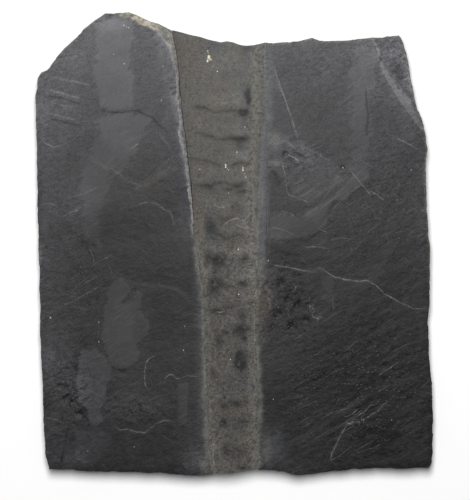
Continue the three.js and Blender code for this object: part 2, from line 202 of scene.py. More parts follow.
def crumpled(line, wobble, seed, size=5.0):
    """A line with small natural bends, its two ends left where they are."""
    along = np.concatenate([[0], np.cumsum(np.hypot(*np.diff(line, axis=0).T))])
    heading = np.gradient(line, axis=0)
    aside = np.column_stack([-heading[:, 1], heading[:, 0]])
    aside /= np.maximum(np.hypot(*aside.T), 1e-9)[:, None]
    push = rough_noise(along, along * 0 + seed, size, seed, octaves=4, gain=0.6) * wobble
    ends = np.minimum(ramp(along, 0, 2), ramp(along[-1] - along, 0, 2))
    return line + aside * (push * ends)[:, None]


def beside(x, y, line):
    """Signed distance of each point from a line, positive on its left, and its share along it."""
    nearest = np.full(np.shape(x), 1e6)
    signed, along = nearest.copy(), np.zeros(np.shape(x))
    lengths = np.concatenate([[0], np.cumsum(np.hypot(*np.diff(line, axis=0).T))])
    for k, (start, end) in enumerate(zip(line[:-1], line[1:])):
        dx, dy = end - start
        squared = max(dx * dx + dy * dy, 1e-12)
        t = np.clip(((x - start[0]) * dx + (y - start[1]) * dy) / squared, 0, 1)
        away = np.hypot(x - start[0] - t * dx, y - start[1] - t * dy)
        left = dx * (y - start[1]) - dy * (x - start[0]) >= 0
        closer = away < nearest
        nearest = np.where(closer, away, nearest)
        signed = np.where(closer, np.where(left, away, -away), signed)
        share = (lengths[k] + t * (lengths[k + 1] - lengths[k])) / lengths[-1]
        along = np.where(closer, share, along)
    return signed, along


def spot(x, y, at, reach, turn=0.0):
    """A soft oval, 1 at its middle and fading out at about its reach."""
    u, v = turned(x - at[0], y - at[1], turn)
    return np.exp(-1.4 * ((u / reach[0]) ** 2 + (v / reach[1]) ** 2))


def inside(x, y, corners):
    """Distance of each point inside a closed line, negative outside it."""
    ring = np.array([*corners, corners[0]], float)
    signed, _ = beside(x, y, ring)
    within = np.zeros(np.shape(x), bool)
    for (x0, y0), (x1, y1) in zip(ring[:-1], ring[1:]):
        if y0 != y1:
            crosses = (y0 > y) != (y1 > y)
            within ^= crosses & (x < x0 + (x1 - x0) * (y - y0) / (y1 - y0))
    return np.where(within, np.abs(signed), -np.abs(signed))


probe = rough_noise(np.linspace(0, 90, 400), np.zeros(400), 9.0, 3)
print("rough noise runs from", round(float(probe.min()), 2), "to", round(float(probe.max()), 2))

# %% [markdown]
# ## The relief of the split face
# Slate splits along its beds, so its face is nearly flat, with thin ledges where a flake has come
# away. The broad shape repeats the measured model: gentle swells, a few dips, and the same ledges
# along the same lines. Each ledge says which side is low, how deep, and how far the scar reaches
# before it runs out. The deepest scar wins where two meet, as in real flaking.

# %% Broad shape of the face
SWELL_HEIGHT = 0.45
HOLLOWS = [
    ((31, 31), (17, 12), 10, 0.9),
    ((-38, -45), (9, 22), -8, 0.5),
    ((24, -26), (10, 18), 0, 0.7),
    ((-70, -62), (8, 16), 0, 0.8),
]


def face_height(x, y):
    """Height of the split face before anything is broken out of it."""
    height = PLATE_THICKNESS + SWELL_HEIGHT * np.sin(x / 27 + y / 70 + 0.6) * np.cos(y / 33 - x / 95)
    height = height + 0.5 * SWELL_HEIGHT * np.sin(y / 11 - x / 34 + 2.1) * np.cos(x / 19 + 0.4)
    for at, reach, turn, depth in HOLLOWS:
        u, v = turned(x - at[0], y - at[1], turn)
        height = height - depth * np.exp(-((u / reach[0]) ** 2 + (v / reach[1]) ** 2))
    return height


# %% Ledges and slopes, each along its own line
LEFT, RIGHT = 1, -1
LEDGES = {
    "basin_north": ([(-63, 54), (-59.5, 57), (-55.5, 57), (-51.5, 56), (-48.5, 56), (-46, 57), (-43, 57),
                     (-40, 56.5), (-37, 55), (-34.5, 53.5), (-32.5, 51), (-29, 48), (-25, 44.5)],
                    RIGHT, 0.14, 15),
    "basin_south": ([(-58, 34.5), (-54.5, 32.5), (-52, 32), (-49.5, 30), (-46.5, 27.5), (-44, 26),
                     (-41.5, 25.5), (-39, 26.5), (-36, 29), (-34, 31.5), (-31.5, 33.5), (-25.5, 38.5)],
                    LEFT, 0.22, 13),
    "west_arc": ([(-42.5, 16.5), (-40, 17), (-37, 17.5), (-34, 17.5), (-32, 16), (-30, 14.5),
                  (-27.5, 13.5), (-26.5, 11), (-25.5, 7.5)], LEFT, 0.12, 7),
    "far_west_arc": ([(-73.5, 1.5), (-71, 2.5), (-68, 3), (-66, 1.5), (-63.5, -0.5), (-62, -3),
                      (-60.5, -5.5), (-60.5, -8)], RIGHT, 0.12, 9),
    "middle_ridge": ([(-45.5, -16), (-43, -17), (-40, -17.5), (-36, -18), (-31.5, -18), (-27, -19),
                      (-24, -20), (-20.5, -23), (-17.5, -26)], LEFT, 0.12, 6),
    "south_thread": ([(-51.5, -78.5), (-49, -80), (-46, -79.5), (-43, -81), (-38, -81.5),
                      (-36, -79.5), (-33, -77), (-29.5, -76), (-26.5, -76.5)], LEFT, 0.1, 5),
    "east_vein": ([(14.5, -8.5), (21.5, -10), (28.5, -11.5), (33.5, -12.5), (37, -10.5), (39, -12),
                   (43, -14.5), (47, -15.5), (53, -16.5), (57, -16), (61, -18), (65, -22),
                   (70.5, -25), (77, -28), (80.5, -28), (84, -27.5)], LEFT, 0.2, 7),
    "south_east_curve": ([(64.5, -69), (62, -72), (57, -75), (53, -77), (48.5, -77.5), (47, -80.5),
                          (45.5, -83), (43, -88.5), (40.5, -94.5)], RIGHT, 0.15, 5),
}
SLOPES = {
    "corner_flake": ([(58, 88.6), (60.1, 83.4), (62.2, 79.1), (65.3, 72.2), (68.3, 66.7), (71.3, 61.9),
                      (75.1, 56.3), (78.6, 51.6), (82, 47.7), (84, 44.5)], LEFT, 2.8, 19, 1.5),
    "crystal_edge": ([(-58, 96.8), (-50, 96.8), (-44.5, 96.6), (-39, 93.8), (-33, 91.4),
                      (-27.5, 88.6)], LEFT, 4.6, 7.5, 1.0),
}
LEDGE_WIDTH = 0.75


def ledge_lines():
    """Every ledge's line with its small natural bends."""
    return {name: crumpled(evenly(points, step=1.0), 0.5, seed, 3.6)
            for seed, (name, (points, *_)) in enumerate({**LEDGES, **SLOPES}.items())}


LINES = ledge_lines()


def broken_depth(x, y):
    """How much slate the lost flakes took with them."""
    depth = np.zeros(np.shape(x))
    for name, (_, low_side, height, reach) in LEDGES.items():
        signed, along = beside(x, y, LINES[name])
        inside = signed * low_side
        fade = np.exp(-((np.maximum(inside, 0) / reach) ** 1.5))
        fullness = np.sin(math.pi * np.clip(0.08 + 0.84 * along, 0, 1)) ** 0.7
        wall = ramp(inside, -LEDGE_WIDTH / 2, LEDGE_WIDTH / 2)
        depth = np.maximum(depth, height * wall * fade * fullness)
    for name, (_, low_side, height, reach, power) in SLOPES.items():
        signed, along = beside(x, y, LINES[name])
        inside = np.maximum(signed * low_side, 0)
        ends = np.minimum(ramp(along, 0, 0.15), ramp(1 - along, 0, 0.12))
        steps = 0.25 * rough_noise(x, y, 3.5, 71)
        depth = depth + height * (inside / reach) ** power * (1 + steps) * ends
    return depth


# %% [markdown]
# ## Beside the shell
# Along the shell's west side the slate is turned up into a thin pale lip over a dark crevice. Along
# its east side someone has scraped a shallow trench to free the shell. Both follow the margins, so
# their heights are rules about how far a point lies from a margin.

# %% The lip and the trench
LIP_HEIGHT = 0.7
LIP_SOUTH_END = 1.0
LIP_FADE = 30.0
LIP_CREST = [
    (-18.5, 3), (-18.5, 7.5), (-18, 11), (-18.5, 14.5), (-19, 19), (-19.5, 23), (-20, 27.5),
    (-20.5, 30.5), (-21, 35.5), (-22, 40.5), (-23, 44.5), (-23.5, 47.5), (-23, 51.5), (-23.5, 56),
    (-24.5, 60), (-25, 63), (-24.5, 65.5), (-24.5, 70.5), (-25, 75), (-26, 77.5), (-27, 81),
    (-28, 84.5), (-30, 87), (-32.5, 90.5),
]
TRENCH_EDGE = [(13.5, -16), (14.4, -8), (13.9, 10), (13.8, 30), (14.3, 48), (14.8, 66), (14.6, 90)]
WEST_MARGIN = crumpled(evenly(SHELL_WEST, step=0.8), 0.4, 21, 5.0)
EAST_MARGIN = crumpled(evenly(SHELL_EAST, step=0.8), 0.5, 22, 6.0)
SCRAPED_EDGE = crumpled(evenly(TRENCH_EDGE, step=0.8), 0.6, 23, 6.0)


def margin_x(margin, y):
    """Where a line that runs from south to north lies at each y."""
    points = np.array(margin, float)
    return np.interp(y, points[:, 1], points[:, 0])


def side_y(side, x):
    """Where the plate's north or south side lies at each x."""
    points = np.array(side, float)
    return np.interp(x, points[:, 0], points[:, 1])


def lip_height(x, y):
    """The ridge of turned-up slate, steep towards the shell and gentle away from it."""
    crest = margin_x(LIP_CREST, y)
    out = crest - x
    growth = ramp(y, LIP_SOUTH_END, LIP_SOUTH_END + LIP_FADE)
    rise = LIP_HEIGHT * growth * (1 + 0.3 * rough_noise(y, y * 0, 5, 5, octaves=4, gain=0.6))
    wall = np.maximum(crest - margin_x(WEST_MARGIN, y), -4)
    inner = np.clip(1 - out / np.minimum(wall, -0.6), 0, 1)
    outer = np.exp(-((np.maximum(out, 0) / 3.2) ** 1.7))
    return np.where(out > 0, outer, inner) * rise * (np.abs(out) < 12)


def trench_depth(x, y):
    """The scraped strip between the shell's east margin and its outer edge."""
    edge = margin_x(SCRAPED_EDGE, y)
    inside = ramp(edge - x, -1.0, 1.0) * ramp(y, -14, -4)
    return inside * (0.12 + 0.03 * np.clip(edge - x, 0, 6)) * (x > 0)


# %% [markdown]
# ## Flats, grain and pits
# Where a flake has come off cleanly it leaves a smooth, paler flat with a sharp but ragged edge.
# Elsewhere the face is scaly: little tongues of slate overlap like shingles, drawn out towards the
# right and slightly upwards. Each flat is a closed line with its own lift, smoothness and paleness.
# Stretched and turned noise gives the scales, noise rounded to a few levels gives the thin terraces
# of a cleaved bed, and a threshold on noise gives pits.

# %% Flats: closed line, lift in mm, smoothness, paleness, softness of the edge in mm
FLATS = {
    "north_pale": ([(-60.5, 94.5), (-52, 97.5), (-43.5, 96.5), (-43.4, 89.5), (-43.6, 83.5), (-43.8, 72.5),
                    (-43.2, 64), (-43.5, 59), (-49.5, 57), (-57.5, 57.5), (-59.5, 64), (-60.5, 72.5),
                    (-59, 83.5)], 0.12, 0.9, 0.38, 1.2),
    "under_brow": ([(-57.3, 55), (-49.6, 56.3), (-44.4, 57.2), (-40.1, 56.3), (-35.8, 53.8), (-36.7, 46.9),
                    (-38.8, 43.9), (-41, 40.4), (-44.4, 36.1), (-46.5, 31), (-49.6, 29.2), (-55.1, 32.7),
                    (-59.4, 33.5), (-63.7, 31), (-65.9, 34), (-62.5, 40.4), (-59.4, 45.6), (-58.6, 51.2)],
                   0.1, 0.9, 0.3, 2.2),
    "west_tongue": ([(-63.5, 35), (-55, 36), (-52, 31), (-54, 26.5), (-52, 23), (-55.5, 17.5),
                     (-57, 12.5), (-57.5, 7), (-58.5, 1.5), (-57.5, -2), (-56, -5.5), (-58, -6),
                     (-61.5, -2.5), (-63.5, 1), (-66, 4), (-66, 10.5), (-64, 17), (-67, 21),
                     (-66, 28.5)], 0.12, 0.85, 0.45, 2.0),
    "centre_west": ([(-51.5, -16), (-48.5, -15), (-45.5, -17), (-44, -20), (-46, -22), (-48, -25.5),
                     (-44.5, -24), (-41.5, -20), (-39, -20.5), (-39.5, -26), (-41, -28.5), (-37.5, -32),
                     (-36, -35.5), (-37, -39), (-40, -40.5), (-42, -43.5), (-40.5, -47.5),
                     (-41.5, -50.5), (-45.5, -53.5), (-49.5, -54), (-53, -52), (-55.5, -45.5),
                     (-57, -39), (-56, -32.5), (-56.5, -29), (-54, -24), (-54.5, -20)],
                    0.15, 1.0, 0.8, 0.6),
    "south_west": ([(-66, -46.5), (-59.5, -45), (-54, -50.5), (-52, -56.5), (-54.5, -60.5),
                    (-55.5, -67), (-57.5, -72), (-56, -75.5), (-58, -78), (-61.5, -78), (-63.5, -71.5),
                    (-67, -67), (-68, -60.5), (-67, -53.5)], 0.12, 0.9, 0.95, 0.8),
    "south_west_low": ([(-68, -80), (-59.5, -81), (-52, -81.5), (-52, -85), (-56.5, -88.5),
                        (-57.5, -93.5), (-61.5, -95.5), (-67.5, -93.5), (-69.5, -86.5)],
                       0.06, 0.6, 0.5, 0.9),
    "small_panel": ([(-24.5, -60.5), (-20, -60), (-20, -78), (-24, -78.5)], 0.08, 0.8, 0.6, 0.7),
    "grey_patch": ([(-52, -66), (-40, -64.5), (-30, -67), (-30, -73.5), (-40, -75), (-49.5, -75.5),
                    (-55, -73.5)], 0.0, 0.1, 0.45, 2.0),
    "east_shelf": ([(15, 9.5), (16.5, 12.5), (22.5, 13), (27, 11), (31.5, 14), (36.5, 16), (42, 19),
                    (46, 24), (51, 29.5), (48.5, 32.5), (53, 35), (57, 32.5), (59, 27.5), (53, 23),
                    (48, 19), (42.5, 18.5), (40, 12.5), (38, 7), (34, 3.5), (28.5, 1.5), (20, 2),
                    (15, 1.5)], 0.2, 1.0, 0.58, 1.1),
    "east_band": ([(51, 78.5), (53, 84.5), (60.5, 85), (62, 79), (59.5, 72.5), (59, 62), (59, 49),
                   (58.5, 37), (51, 36), (50, 49), (50.5, 62), (49.5, 70.5)], 0.08, 0.8, 0.4, 2.2),
    "south_east_shelf": ([(53, -13.5), (57, -7.5), (60.5, -3.5), (65, 0), (70, 1.5), (69, -2.5),
                          (65.5, -5), (65, -10.5), (62, -13.5)], 0.1, 0.9, 0.4, 1.2),
    "vein_flat": ([(37.5, -20), (38, -15.5), (41.5, -14), (43.5, -17.5), (42, -21)], 0, 0.8, 0.7, 0.8),
    "south_haze": ([(10.5, -81), (16, -81.5), (19, -86.5), (18.5, -93), (12.5, -95.5), (10, -90.5)],
                   0.0, 0.2, 0.7, 2.2),
    "hollow": ([(15, 46.5), (22.5, 47.5), (25.5, 44), (29.5, 44.5), (34, 40.5), (39.5, 37), (44, 31),
                (47, 27.5), (41.5, 24), (36.5, 20), (31.5, 17.5), (24.5, 20), (22.5, 25.5),
                (15, 32.5)], -0.25, 0.4, 0.45, 1.8),
    "dark_west": ([(-57.5, 11), (-52, 15.5), (-46.5, 11), (-39, 9.5), (-36, 5), (-42, 1), (-53, -0.5),
                   (-57.5, 1)], -0.1, 0.2, -0.2, 1.6),
    # corner_facet: a pale facet, its paleness partly painted sheen on the sloping face.
    "corner_facet": ([(61.8, 80), (64.4, 76.5), (67.4, 71.8), (70.4, 67.1), (73, 64.1), (75.6, 61.9),
                      (77.3, 58.1), (79.4, 54.2), (81.2, 50.3), (82.5, 47.3), (79.4, 49.9), (76.4, 54.2),
                      (73.4, 58.5), (70.8, 61.9), (68.3, 65.8), (65.7, 70.1), (63.1, 74.8)], 0.0, 0.9, 0.8, 0.5),
    # lip_shoulder is no flake: its paleness is painted sheen on the lip's west slope.
    "lip_shoulder": ([(-32.4, 89.4), (-28.9, 84.3), (-27.2, 79.1), (-26.3, 72.7), (-25.5, 64.1),
                      (-24.2, 57.6), (-22.5, 49), (-21.6, 40.4), (-20.7, 32.7), (-22.9, 34), (-25.5, 40.4),
                      (-27.2, 46.9), (-28.9, 53.3), (-30.2, 61.9), (-30.2, 70.5), (-30.6, 78.3),
                      (-33.2, 85.1), (-34.9, 88.6)], 0.0, 0.8, 0.3, 1.8),
}


LIFT_SHARE = 0.3


def ragged(x, y):
    """The same places, pushed about a little, so that what is drawn on them gets ragged edges."""
    push = [0.9 * rough_noise(x, y, 3.2, seed, octaves=4, gain=0.6) for seed in (31, 57)]
    return x + push[0], y + push[1]


def flat_relief(x, y):
    """Lift and smoothness that the flats give to each point."""
    u, v = ragged(x, y)
    lift, smooth = np.zeros(np.shape(x)), np.zeros(np.shape(x))
    for corners, rise, smoothness, _, softness in FLATS.values():
        share = ramp(inside(u, v, corners), -softness, softness)
        lift = lift + LIFT_SHARE * rise * share
        smooth = np.maximum(smooth, smoothness * share)
    return lift, smooth


def nearest_flat(x, y):
    """Depth inside the nearest flat, with that flat's smoothness, paleness and softness of edge."""
    depth = np.full(len(x), -99.0)
    told = np.zeros((3, len(x)))
    for corners, _, *finish in FLATS.values():
        here = inside(x, y, corners)
        told = np.where(here > depth, np.array(finish)[:, None], told)
        depth = np.maximum(depth, here)
    return depth, *told


# %% Small relief of the face
SCALE_TURN = 17.0
ROUGH_PATCHES = [
    ((24, -24), (11, 16), 0, 1.0), ((-70, -63), (9, 15), 0, 1.0), ((-41, -72), (13, 6), 0, 0.5),
    ((31, 34), (14, 9), 10, 0.45), ((60, -62), (28, 34), 20, 0.4), ((14, -16), (5, 7), 0, 0.8),
    ((-63, 47), (8, 9), 0, 0.15),
]
PITS = [
    ((-71.8, -67), 1.9, 1.1), ((-74.3, -61.5), 1.4, 0.8), ((-66, -73.5), 1.7, 0.9),
    ((20, -17), 1.6, 0.8), ((18.5, -30), 2.0, 0.9), ((27, -26), 1.4, 0.7), ((24.5, -36), 2.0, 0.8),
    ((30.5, -33), 1.4, 0.6), ((22.2, 38.5), 1.2, 0.6), ((46.8, 32.5), 1.0, 0.6),
    ((-25.7, 64.6), 1.0, 0.9), ((-23.9, 61.5), 1.0, 0.8), ((-61, -1), 1.3, 0.3), ((-47.5, -55.5), 1.8, 0.2),
]
PIT_SHARE = 0.55


def patches(x, y, listed):
    """The strongest of several soft ovals at each point."""
    amount = np.zeros(np.shape(x))
    for at, reach, turn, strength in listed:
        amount = np.maximum(amount, strength * spot(x, y, at, reach, turn))
    return amount


def grain_height(x, y):
    """Flats, scales, thin terraces, wrinkles and pits of the split face."""
    lift, smooth = flat_relief(x, y)
    rough = patches(x, y, ROUGH_PATCHES)
    u, v = turned(x, y, SCALE_TURN, 1.7)
    scales = rough_noise(u, v, 2.4, 101, octaves=5, gain=0.7)
    u, v = turned(x, y, 12, 1.9)
    level = 4.5 * rough_noise(u, v, 15, 113, octaves=5, gain=0.55)
    terraces = np.floor(level) + ramp(level - np.floor(level), 0.82, 1.0)
    u, v = turned(x, y, 27, 6)
    wrinkles = np.abs(rough_noise(u, v, 3.6, 131, octaves=3)) * ramp(x - y, 60, 110) * ramp(x, 8, 25)
    pitted = ramp(rough_noise(x, y, 3.4, 151, octaves=4, gain=0.6), 0.12, 0.5)
    height = lift + 0.06 * scales * (1 - 0.6 * smooth) * (1 + 1.5 * rough)
    height = height + 0.035 * terraces * (1 - 0.9 * smooth) - 0.12 * wrinkles - 0.45 * pitted * rough
    for at, radius, depth in PITS:
        away = np.hypot(x - at[0], 1.3 * (y - at[1])) / radius
        away = away + 0.8 * rough_noise(x, y, 2.4, 163, octaves=4, gain=0.65)
        height = height - PIT_SHARE * depth * ramp(1 - away, -0.3, 0.5)
    return height


def slate_height(x, y):
    """The whole relief of the plate's upper face."""
    return (face_height(x, y) - broken_depth(x, y) + lip_height(x, y) - trench_depth(x, y)
            + grain_height(x, y))


print("flats and dark areas:", len(FLATS), "- pits:", len(PITS))

# %% [markdown]
# ## Stations round the plate
# The plate's net is 262 cells tall. West of the shell it is 95 cells wide, under the shell 14, and
# east of it 102. The columns crowd towards the shell, where the lip and the crevice need fine cells.
# The same stations, taken once round, also carry the rim.

# %% The net's border, all round the plate
ROWS = 262
WEST_COLUMNS, SEAT_COLUMNS, EAST_COLUMNS = 95, 14, 102
COLUMNS = WEST_COLUMNS + SEAT_COLUMNS + EAST_COLUMNS
SEAT_WEST, SEAT_EAST = WEST_COLUMNS, WEST_COLUMNS + SEAT_COLUMNS

t_west, t_east = np.linspace(0, 1, WEST_COLUMNS + 1), np.linspace(0, 1, EAST_COLUMNS + 1)
STRIP_SHARES = [
    0.55 * t_west + 0.45 * (1 - (1 - t_west) ** 2),
    np.array([0, 0.012, 0.06, *np.linspace(0.15, 0.85, 9), 0.94, 0.988, 1]),
    0.65 * t_east + 0.35 * t_east**2,
]
ROW_SHARES = np.linspace(0, 1, ROWS + 1)


def side_between(side, x0, x1, shares):
    """The part of the north or south side between two places, at the given shares of its length."""
    inner = [(x, y) for x, y in side if x0 < x < x1]
    return evenly([(x0, side_y(side, x0)), *inner, (x1, side_y(side, x1))], at=shares)


def whole_side(side, west_x, east_x, seed):
    """The north or south side at every column of the net."""
    ends = [side[0][0], west_x, east_x, side[-1][0]]
    parts = [side_between(side, ends[k], ends[k + 1], STRIP_SHARES[k]) for k in range(3)]
    return crumpled(np.concatenate([parts[0], parts[1][1:-1], parts[2]]), 0.45, seed, 6.0)


def plate_outline():
    """The outline at the net's own stations, once round, counter-clockwise."""
    south = whole_side(SOUTH_SIDE, SHELL_WEST[0][0], SHELL_EAST[0][0], 13)
    north = whole_side(NORTH_SIDE, SHELL_WEST[-1][0], SHELL_EAST[-1][0], 17)
    west = crumpled(evenly(WEST_SIDE, at=ROW_SHARES), 0.45, 11, 6.0)
    east = crumpled(evenly(EAST_SIDE, at=ROW_SHARES), 0.45, 12, 6.0)
    return np.concatenate([south[:-1], east[:-1], north[:0:-1], west[:0:-1]])


outline = plate_outline()
print("outline:", len(outline), "points,", round(float(np.ptp(outline[:, 0])), 1), "mm across")

# %% [markdown]
# ## The broken rim
# A slate plate shows its beds on its rim as thin leaves, each broken back by a different amount.
# The rim is a stack of rings below the net's border: two rings to a leaf, pushed inwards by that
# leaf's own rough setback. The two uppermost leaves stand out furthest and reach the outline, so the
# plate keeps its plan. Under the seat the leaves bend down, as beds do round a buried shell.

# %% How far each leaf stands back
LEAVES = [12.0, 10.9, 9.4, 8.2, 7.3, 6.1, 5.0, 4.1, 2.8, 1.6]
LEAF_LEDGE = 0.16
LEAF_LEAN = 0.18
MAIN_SETBACK, LEAF_SETBACK = 1.6, 0.45


def inward_of(ring, reach=4):
    """Unit directions that point into a closed, counter-clockwise ring."""
    heading = np.roll(ring, -reach, axis=0) - np.roll(ring, reach, axis=0)
    inward = np.column_stack([-heading[:, 1], heading[:, 0]])
    return inward / np.hypot(*inward.T)[:, None]


def leaf_setbacks(ring):
    """How far each leaf stands behind the outline, all round the plate."""
    steps = np.hypot(*np.diff(ring, axis=0, append=ring[:1]).T)
    turn = 2 * math.pi * np.cumsum(steps) / steps.sum()
    reach = steps.sum() / (2 * math.pi)
    cx, cy = reach * np.cos(turn), reach * np.sin(turn)
    leaves = []
    for k in range(len(LEAVES)):
        main = ramp(rough_noise(cx, cy, 14, 201 + k // 3, octaves=3), -0.4, 0.6)
        leaf = ramp(rough_noise(cx, cy, 5, 231 + k, octaves=4, gain=0.6), -0.5, 0.6)
        main_share = 0.05 if k < 2 else 1.0
        leaves.append(MAIN_SETBACK * main_share * main**1.5 + LEAF_SETBACK * leaf)
    return np.array(leaves) - np.min(leaves, axis=0)


inward, setback = inward_of(outline), leaf_setbacks(outline)
print("leaves stand back by up to", round(float(setback.max()), 2), "mm")

# %% [markdown]
# ## The net over the plate
# The plate's net has to follow three edges at once: the outline and both margins of the shell. A
# Coons patch does that. It blends four border lines into a net that touches all four. Three
# patches side by side make the field west of the shell, the seat under it and the field east of
# it. They share the margins, so the whole upper face is one net without a seam.

# %% Blend four borders into a net


def coons(south, north, west, east, u, v):
    """Points over a patch with these four border lines, v along the rows and u across them."""
    u, v = u[None, :, None], v[:, None, None]
    net = (1 - v) * south[None] + v * north[None] + (1 - u) * west[:, None] + u * east[:, None]
    net = net - (1 - u) * (1 - v) * south[0] - u * (1 - v) * south[-1]
    return net - (1 - u) * v * north[0] - u * v * north[-1]


def margin_line(margin, start, end):
    """A margin of the shell, from its place on the plate's south side to that on the north side."""
    y = start[1] * (1 - ROW_SHARES) + end[1] * ROW_SHARES
    x = margin_x(margin, y)
    x = x + (start[0] - x[0]) * (1 - ROW_SHARES) ** 30 + (end[0] - x[-1]) * ROW_SHARES**30
    return np.column_stack([x, y])


def plate_net():
    """Plan positions of the plate's whole upper net, row by row, inside its top leaf's edge."""
    ring = outline + inward * setback[0][:, None]
    ring = np.concatenate([ring, ring[:1]])
    south, east = ring[:COLUMNS + 1], ring[COLUMNS:COLUMNS + ROWS + 1]
    north = ring[COLUMNS + ROWS:2 * COLUMNS + ROWS + 1][::-1]
    west = ring[2 * COLUMNS + ROWS:][::-1]
    borders = [
        west,
        margin_line(WEST_MARGIN, south[SEAT_WEST], north[SEAT_WEST]),
        margin_line(EAST_MARGIN, south[SEAT_EAST], north[SEAT_EAST]),
        east,
    ]
    cuts = [0, SEAT_WEST, SEAT_EAST, COLUMNS]
    strips = []
    for k, u in enumerate(STRIP_SHARES):
        part = slice(cuts[k], cuts[k + 1] + 1)
        strips.append(coons(south[part], north[part], borders[k], borders[k + 1], u, ROW_SHARES))
    return np.concatenate([strips[0], strips[1][:, 1:-1], strips[2]], axis=1)


plan = plate_net()
print("upper net:", plan.shape[1] - 1, "by", plan.shape[0] - 1, "cells")

# %% [markdown]
# ## From nets to a solid
# A net of points is turned into faces by joining each cell's four corners. The same rule joins one
# ring to the next round the rim. Working with whole arrays of numbers keeps this fast, and the
# finished mesh is closed, like the stone: face, rim and underside.

# %% Faces between rows and rings
SHELL_CROWN, SHELL_KEEL, SHELL_EDGE_DROP = 2.3, 4.4, 0.5
UNDERSIDE_RINGS = 14
SHARP_ANGLE = math.radians(42)


def cell_faces(index):
    """Four-sided faces over a net of point numbers."""
    corners = [index[:-1, :-1], index[:-1, 1:], index[1:, 1:], index[1:, :-1]]
    return np.stack([c.ravel() for c in corners], axis=1)


def band_faces(upper, lower):
    """Four-sided faces between two closed rings of point numbers."""
    corners = [upper, lower, np.roll(lower, -1), np.roll(upper, -1)]
    return np.stack(corners, axis=1)


def make_piece(name, points, faces, caps=()):
    """A smooth-shaded mesh object from points in millimetres."""
    mesh = bpy.data.meshes.new(name)
    mesh.from_pydata((points * MM).tolist(), [], [*faces.tolist(), *(list(map(int, c)) for c in caps)])
    mesh.shade_smooth()
    mesh.set_sharp_from_angle(angle=SHARP_ANGLE)
    mesh.update()
    piece = bpy.data.objects.new(name, mesh)
    bpy.context.scene.collection.objects.link(piece)
    print(name, "has", len(mesh.polygons), "faces")
    return piece


def paint(piece, name, values):
    """Stores a number or a vector for each point of a piece, for its material to read."""
    values = np.asarray(values, np.float32)
    kind, field = ("FLOAT_VECTOR", "vector") if values.ndim == 2 else ("FLOAT", "value")
    layer = piece.data.attributes.new(name, kind, "POINT")
    layer.data.foreach_set(field, values.ravel())


def across_shell(x, y):
    """Place across the shell: -1 at its west margin, 1 at its east margin."""
    west, east = margin_x(WEST_MARGIN, y), margin_x(EAST_MARGIN, y)
    return 2 * (x - west) / (east - west) - 1, (east - west) / 2


def seat_floor(x, y):
    """The floor of the seat that the shell fills."""
    across, half = across_shell(x, y)
    fullness = 0.45 + 0.55 * half / 20
    keel = SHELL_KEEL * fullness * np.sqrt(np.clip(1 - across**2, 0, 1))
    return face_height(x, y) - SHELL_EDGE_DROP - 0.6 - keel


# %% The plate
RIM_WEAR = 0.2


def plate_points():
    """All points of the plate: the upper net, the rings of the rim, the rings underneath."""
    x, y = plan[:, :, 0], plan[:, :, 1]
    z = slate_height(x, y)
    away, _ = beside(x, y, np.concatenate([outline[::6], outline[:1]]))
    wear = RIM_WEAR * (1 + rough_noise(x, y, 5, 301)) * np.exp(-np.abs(away) / 0.9)
    z = z - wear
    seat = slice(SEAT_WEST + 1, SEAT_EAST)
    z[:, seat] = seat_floor(x[:, seat], y[:, seat])
    return np.dstack([x, y, z])


def rim_rings(top_ring):
    """Rings of points from the upper net's border down to the underside, then in under the plate."""
    squash = top_ring[:, 2] / PLATE_THICKNESS
    levels = [*LEAVES, 0.35]
    rings = []
    for k, leaf in enumerate(setback):
        wander = 0.16 * rough_noise(outline[:, 0], outline[:, 1], 11, 261 + k)
        if k:
            place = outline + inward * leaf[:, None]
            rings.append(np.column_stack([place, (levels[k] - LEAF_LEDGE + wander) * squash]))
        place = outline + inward * (leaf + LEAF_LEAN)[:, None]
        below = 0.16 * rough_noise(outline[:, 0], outline[:, 1], 11, 262 + k)
        rings.append(np.column_stack([place, (levels[k + 1] + below) * squash]))
    centre = np.array([0.0, -4.0])
    foot = rings[-1][:, :2] - centre
    for share in np.linspace(0, 1, UNDERSIDE_RINGS) ** 1.25:
        place = centre + foot * (0.99 - 0.97 * share)
        u, v = turned(place[:, 0], place[:, 1], 30, 1.6)
        relief = 0.3 + 0.45 * rough_noise(u, v, 18, 281, octaves=5)
        rings.append(np.column_stack([place, np.maximum(relief, 0) * ramp(share, -0.05, 0.15)]))
    return rings


def build_plate():
    """The plate as one closed mesh."""
    net = plate_points()
    index = np.arange(net.shape[0] * net.shape[1]).reshape(net.shape[:2])
    border = np.concatenate([index[0, :-1], index[:-1, -1], index[-1, :0:-1], index[:0:-1, 0]])
    flat = net.reshape(-1, 3)
    rings = rim_rings(flat[border])
    count = len(border)
    faces, upper = [cell_faces(index)], border
    for k in range(len(rings)):
        lower = len(flat) + k * count + np.arange(count)
        faces.append(band_faces(upper, lower))
        upper = lower
    points = np.concatenate([flat, *rings])
    return make_piece("slate_plate", points, np.concatenate(faces), [upper[::-1]]), points


plate, plate_xyz = build_plate()
